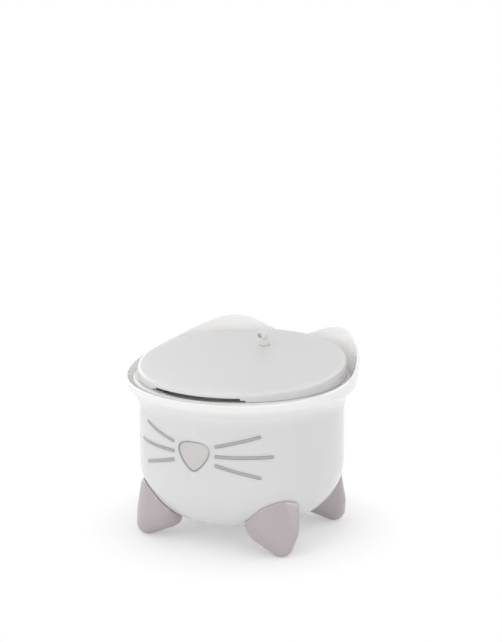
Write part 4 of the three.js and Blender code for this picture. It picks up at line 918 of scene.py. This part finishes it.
def makeRiser(s):
    bore, outer, bead, bottom, top = s["bore"], s["outer"], s["bead"], s["bottom"], s["top"]
    line = roundCorners([(bore, bottom, 0.3), (bead, bottom, 0.4), (bead, bottom + 1.7, 0.4),
                         (outer, bottom + 2.2), (outer, top - 2), (bead - 0.05, top - 1.6, 0.3),
                         (bead - 0.05, top, 0.3), (bore, top, 0.3)], steps=4)
    piece = drum("riserTube", line, 64, riserAxis)
    finishPiece(piece, "riser", "tube", ["riser_tube"], 34, False)


makeLid(lid)
makeSpout(spout)
makeRiser(riser)
print("lid, spout and riser made")


# Filter: fleece sheet over four pods of grains
filterSettings = {"size": 93, "corner": 11.7, "centre": (0, -50), "bottom": 160.2, "thickness": 0.8,
                  "hole": 8, "pod": 39, "podPitch": 21.5, "podDepth": 8.6, "podTaper": 0.88,
                  "podFlat": 0.45, "podRise": 0.45, "podPower": 5}
pods = [("carbon_pod_front", -1, -1, "carbon"), ("carbon_pod_rear", -1, 1, "carbon"),
        ("resin_pod_front", 1, -1, "resin"), ("resin_pod_rear", 1, 1, "resin")]


def makeFilter(s):
    x0, y0 = s["centre"]
    bottom = s["bottom"]
    film = block("filterFleece", s["size"], s["corner"], bottom, bottom + s["thickness"], s["centre"], 8)
    carve(film, rod("filmHoleForm", s["hole"], -over, over, 48, s["centre"], bottom))
    finishPiece(film, "filter", "fleece", ["filter_film"], 40)
    for name, sx, sy, grains in pods:
        bm = bmesh.new()
        bmesh.ops.create_cube(bm, size=1)
        bmesh.ops.subdivide_edges(bm, edges=bm.edges, cuts=11, use_grid_fill=True)
        half, depth = s["pod"] / 2, s["podDepth"] - gap
        for v in bm.verts:
            x, y, z = v.co.x * 2, v.co.y * 2, v.co.z * 2
            reach = (abs(x) ** s["podPower"] + abs(y) ** s["podPower"]) ** (1 / s["podPower"])
            k = max(abs(x), abs(y)) / reach if reach > 0 else 1
            down = (1 - z) / 2
            narrow = 1 - (1 - s["podTaper"]) * down ** 1.5
            edge = max(0, max(abs(x), abs(y)) - s["podFlat"]) / (1 - s["podFlat"])
            plump = 1 - s["podRise"] * edge ** 2 if z < 0 else 1
            v.co = Vector((x0 + sx * s["podPitch"] + half * x * k * narrow,
                           y0 + sy * s["podPitch"] + half * y * k * narrow,
                           bottom - gap - depth / 2 + depth / 2 * z * plump)) * mm
        pod = newMesh(name + "_grains", bm)
        change = pod.modifiers.new("round", "SUBSURF")
        change.levels = change.render_levels = 1
        applyAll(pod)
        low = -s["podDepth"] - over
        carve(pod, rod("podHoleForm", s["hole"] + gap, low, over, 48, s["centre"], bottom))
        finishPiece(pod, "filter", grains, [f"filter_{name}"], 50)


makeFilter(filterSettings)
print("filter made")


# Pump and motor: their CAD shapes are right, so clean copies carry the finishes
pumpPieces = {
    "pump_housing": ("pumpHousing", "pump", "pump", "pump_white"),
    "pump_base": ("pumpBase", "pump", "pump", "pump_white"),
    "intake_cover": ("intakeCover", "cover", "pump", "pump_white"),
    "led_lens": ("statusLens", "pump", "light", "led_red"),
    "cord_gland": ("leadGland", "pump", "silicone", "soft_white"),
    "impeller": ("impellerWheel", "rotor", "spout", "spout_white"),
    "rotor_magnet": ("rotorMagnet", "rotor", "magnet", "ferrite"),
    "rotor_shaft": ("rotorShaft", "pump", "shaft", "shaft"),
    "stator_core": ("statorCore", "pump", "laminations", "laminations"),
    "stator_winding": ("statorWinding", "pump", "copper", "copper"),
    "led_board": ("lightBoard", "pump", "board", "board_green"),
    "plug_body": ("plugBody", "bowl", "plug", "plug_white"),
    "plug_shell": ("plugShell", "bowl", "plugShell", "plug_metal"),
}
for node, (name, body, finish, slotName) in pumpPieces.items():
    finishPiece(cleanCopy(node, name), body, finish, [node], 36)
print("pump, motor and plug dressed")


# Lead: the same route as the solids, as one smooth line inside the bowl and one outside it
lead = {
    "radius": 1.7, "pumpTurn": 47, "gland": (-8, 19), "glandZ": 47.9, "pumpCentre": (-7.843, 43.589),
    "wallY": 100.8, "slotZ": 151.3, "midWallY": 111, "outsideY": 119, "floorZ": 1.95,
    "coil": (-62, 158, 20), "loops": 8, "pitch": 4.1, "coilSteps": 32, "plug": (-120, 168, 4.25),
}


# A smooth line through the points, which bends evenly where they lie close together.
def centripetal(points, spacing):
    pts = [Vector(p) for p in points]
    pts = [pts[0] * 2 - pts[1], *pts, pts[-1] * 2 - pts[-2]]
    line = []
    for i in range(1, len(pts) - 2):
        p = pts[i - 1:i + 3]
        t = [0]
        for a, b in zip(p, p[1:]):
            t.append(t[-1] + max(1e-6, (b - a).length) ** 0.5)
        count = max(2, round((p[2] - p[1]).length / spacing))
        for k in range(count):
            u = t[1] + (t[2] - t[1]) * k / count

            def between(a, b, j, m):
                return a * ((t[m] - u) / (t[m] - t[j])) + b * ((u - t[j]) / (t[m] - t[j]))

            first, middle, last = [between(p[j], p[j + 1], j, j + 1) for j in range(3)]
            line.append(between(between(first, middle, 0, 2), between(middle, last, 1, 3), 1, 2))
    line.append(pts[-2])
    return line


def tubeAlong(name, line, radius):
    curve = bpy.data.curves.new(name, "CURVE")
    curve.dimensions = "3D"
    curve.bevel_depth = radius * mm
    curve.bevel_resolution = 5
    curve.use_fill_caps = True
    spline = curve.splines.new("POLY")
    spline.points.add(len(line) - 1)
    for point, co in zip(spline.points, line):
        point.co = (*(co * mm), 1)
    return addObject(name, curve)


def lengthOf(line):
    return sum((b - a).length for a, b in zip(line, line[1:])) * mm


def makeLead(s):
    turn = math.radians(s["pumpTurn"])
    out = Vector((-math.sin(turn), math.cos(turn), 0))
    gland = Matrix.Rotation(turn, 3, "Z") @ Vector((*s["gland"], 0))
    start = Vector((*s["pumpCentre"], s["glandZ"])) + gland
    wallY, slotZ, inner = s["wallY"], s["slotZ"], s["midWallY"]
    route = [start, start + out * 8, (-41.5, 58, 47.4), (-53, 51, 47), (-61, 41.5, 48.4), (-68, 41, 51.5),
             (-69, 50, 54.5), (-60.5, 60, 56), (-47, 69, 54.5), (-33, 76.5, 50), (-18.5, 84.5, 46),
             (-7, 91.5, 49), (-1.8, 96.8, 58), (0, wallY - 0.6, 74), (0, wallY, 100), (0, wallY, 124),
             (0, wallY, 138), (0, wallY + 0.4, 144), (0, wallY + 1.3, slotZ - 3.2),
             (0, wallY + 2.9, slotZ - 0.9), (0, inner - 4.4, slotZ), (0, inner, slotZ)]
    line = centripetal(route, 2.5)
    tube = tubeAlong("leadInsideCurve", line, s["radius"])
    bpy.context.view_layer.update()
    mesh = bpy.data.meshes.new_from_object(tube.evaluated_get(bpy.context.evaluated_depsgraph_get()))
    bpy.data.objects.remove(tube)
    piece = addObject("leadInside", mesh)
    mesh.materials.clear()
    mesh.materials.append(finishes["lead"])
    shade(piece, 50, False)
    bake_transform(piece)
    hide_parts("lead_inner")

    outY, floorZ = s["outsideY"], s["floorZ"]
    coilX, coilY, coilR = s["coil"]
    route = [(0, inner + gap, slotZ), (0, inner + 3.2, slotZ - 0.2), (0, outY, slotZ - 6.5),
             (0, outY + 1, slotZ - 22), (0, outY, 100), (0, outY, 60), (0, outY + 1, 24),
             (-0.6, outY + 5.5, 9), (-1.6, outY + 12, floorZ + 1.4), (-3.4, outY + 20, floorZ + 0.1),
             (-8, outY + 33, floorZ), (-22, coilY + coilR - 4.4, floorZ),
             (-40, coilY + coilR - 0.2, floorZ), (coilX + 5, coilY + coilR, floorZ)]
    line = centripetal(route, 3)
    steps = s["coilSteps"]
    for i in range(s["loops"] * steps + 1):
        turn = i / steps * 2 * math.pi
        line.append(Vector((coilX - coilR * math.sin(turn), coilY + coilR * math.cos(turn),
                            floorZ + s["pitch"] * i / steps)))
    plugX, plugY, plugZ = s["plug"]
    top = floorZ + s["pitch"] * s["loops"]
    route = [(coilX - 4, coilY + coilR + 0.1, top), (coilX - 14, coilY + coilR + 1.2, top - 0.8),
             (coilX - 26, coilY + coilR + 0.4, top - 9), (coilX - 37, coilY + coilR - 4, plugZ + 12),
             (coilX - 47, plugY + 1, plugZ + 2), (plugX + 5, plugY, plugZ), (plugX + gap, plugY, plugZ)]
    line += centripetal(route, 3)
    piece = tubeAlong("leadOutside", line, s["radius"])
    piece.data.materials.append(finishes["lead"])
    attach(piece, "bowl")
    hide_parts("lead_outer", "lead_coil", "lead_tail")
    print(f"lead: outside {lengthOf(line):.3f} m")


makeLead(lead)
print("lead laid")


# Floor, world and lamps
studio = {
    "floorSize": 6, "floorWhite": 1.0, "floorTone": (0.95, 0.95, 0.95), "nearShare": 0.35, "fadeFrom": 0.1,
    "fadeTo": 0.17, "world": 0.84,
    "lamps": [  # name, size, power, place, aim
        ("keyLamp", 1.4, 6.5, (-0.5, -2.1, 0.7), (0, 0, 0.16)),
        ("topLamp", 1.2, 2, (-0.3, -0.9, 1.6), (0, 0, 0.2)),
        ("fillLamp", 1.0, 2, (1.75, -0.3, 0.5), (0, 0, 0.16)),
    ],
    "cards": [  # seen only as reflections: name, width, height, power, place
        ("rightCard", 2.4, 1.8, 30, (1.84, 0.78, 0.55)),
        ("leftCard", 1.4, 1.8, 16, (-1.66, 1.1, 0.55)),
    ],
}


def rayOf(tree):
    path = tree.nodes.new("ShaderNodeLightPath").outputs
    direct = mathOf(tree, "MAXIMUM", path["Is Camera Ray"], path["Is Glossy Ray"])
    return mathOf(tree, "MAXIMUM", direct, path["Is Transmission Ray"])


def addLamp(name, power, at, aim):
    data = bpy.data.lights.new(name, "AREA")
    data.energy = power
    lamp = addObject(name, data)
    lamp.location = at
    lamp.rotation_euler = (Vector(aim) - Vector(at)).to_track_quat("-Z", "Y").to_euler()
    return lamp


def makeStudio(s):
    bm = bmesh.new()
    bmesh.ops.create_circle(bm, cap_ends=True, segments=64, radius=s["floorSize"] / 2)
    floor = newMesh("studioFloor", bm, True)
    finish, tree, shader, place = newFinish("floorPaper")
    tree.nodes.remove(shader)
    paper = addNode(tree, "BsdfDiffuse", {"Color": (*s["floorTone"], 1)})
    glow = addNode(tree, "Emission", {"Strength": s["floorWhite"]})
    far = addNode(tree, "VectorMath", {0: place})
    far.operation = "LENGTH"
    share = levelsOf(tree, far.outputs["Value"], s["nearShare"], 1, s["fadeFrom"], s["fadeTo"])
    mix = addNode(tree, "MixShader", {0: mathOf(tree, "MULTIPLY", share, rayOf(tree)),
                                      1: paper.outputs[0], 2: glow.outputs[0]})
    feed(tree, tree.nodes["Material Output"], {"Surface": mix.outputs[0]})
    floor.data.materials.append(finish)

    world = bpy.data.worlds.new("studioWorld")
    bpy.context.scene.world = world
    world.use_nodes = True
    tree = world.node_tree
    feed(tree, tree.nodes["Background"], {
        "Color": (1, 1, 1, 1), "Strength": levelsOf(tree, rayOf(tree), s["world"], 1, 0, 1)})

    for name, size, power, at, aim in s["lamps"]:
        lamp = addLamp(name, power, at, aim)
        lamp.data.shape = "DISK"
        lamp.data.size = size
    for name, width, height, power, at in s["cards"]:
        card = addLamp(name, power, at, (0, 0, at[2]))
        card.data.shape = "RECTANGLE"
        card.data.size, card.data.size_y = width, height
        card.visible_camera = card.visible_diffuse = card.visible_transmission = False
    bpy.context.scene.view_settings.view_transform = "Standard"


makeStudio(studio)
print("studio lit")
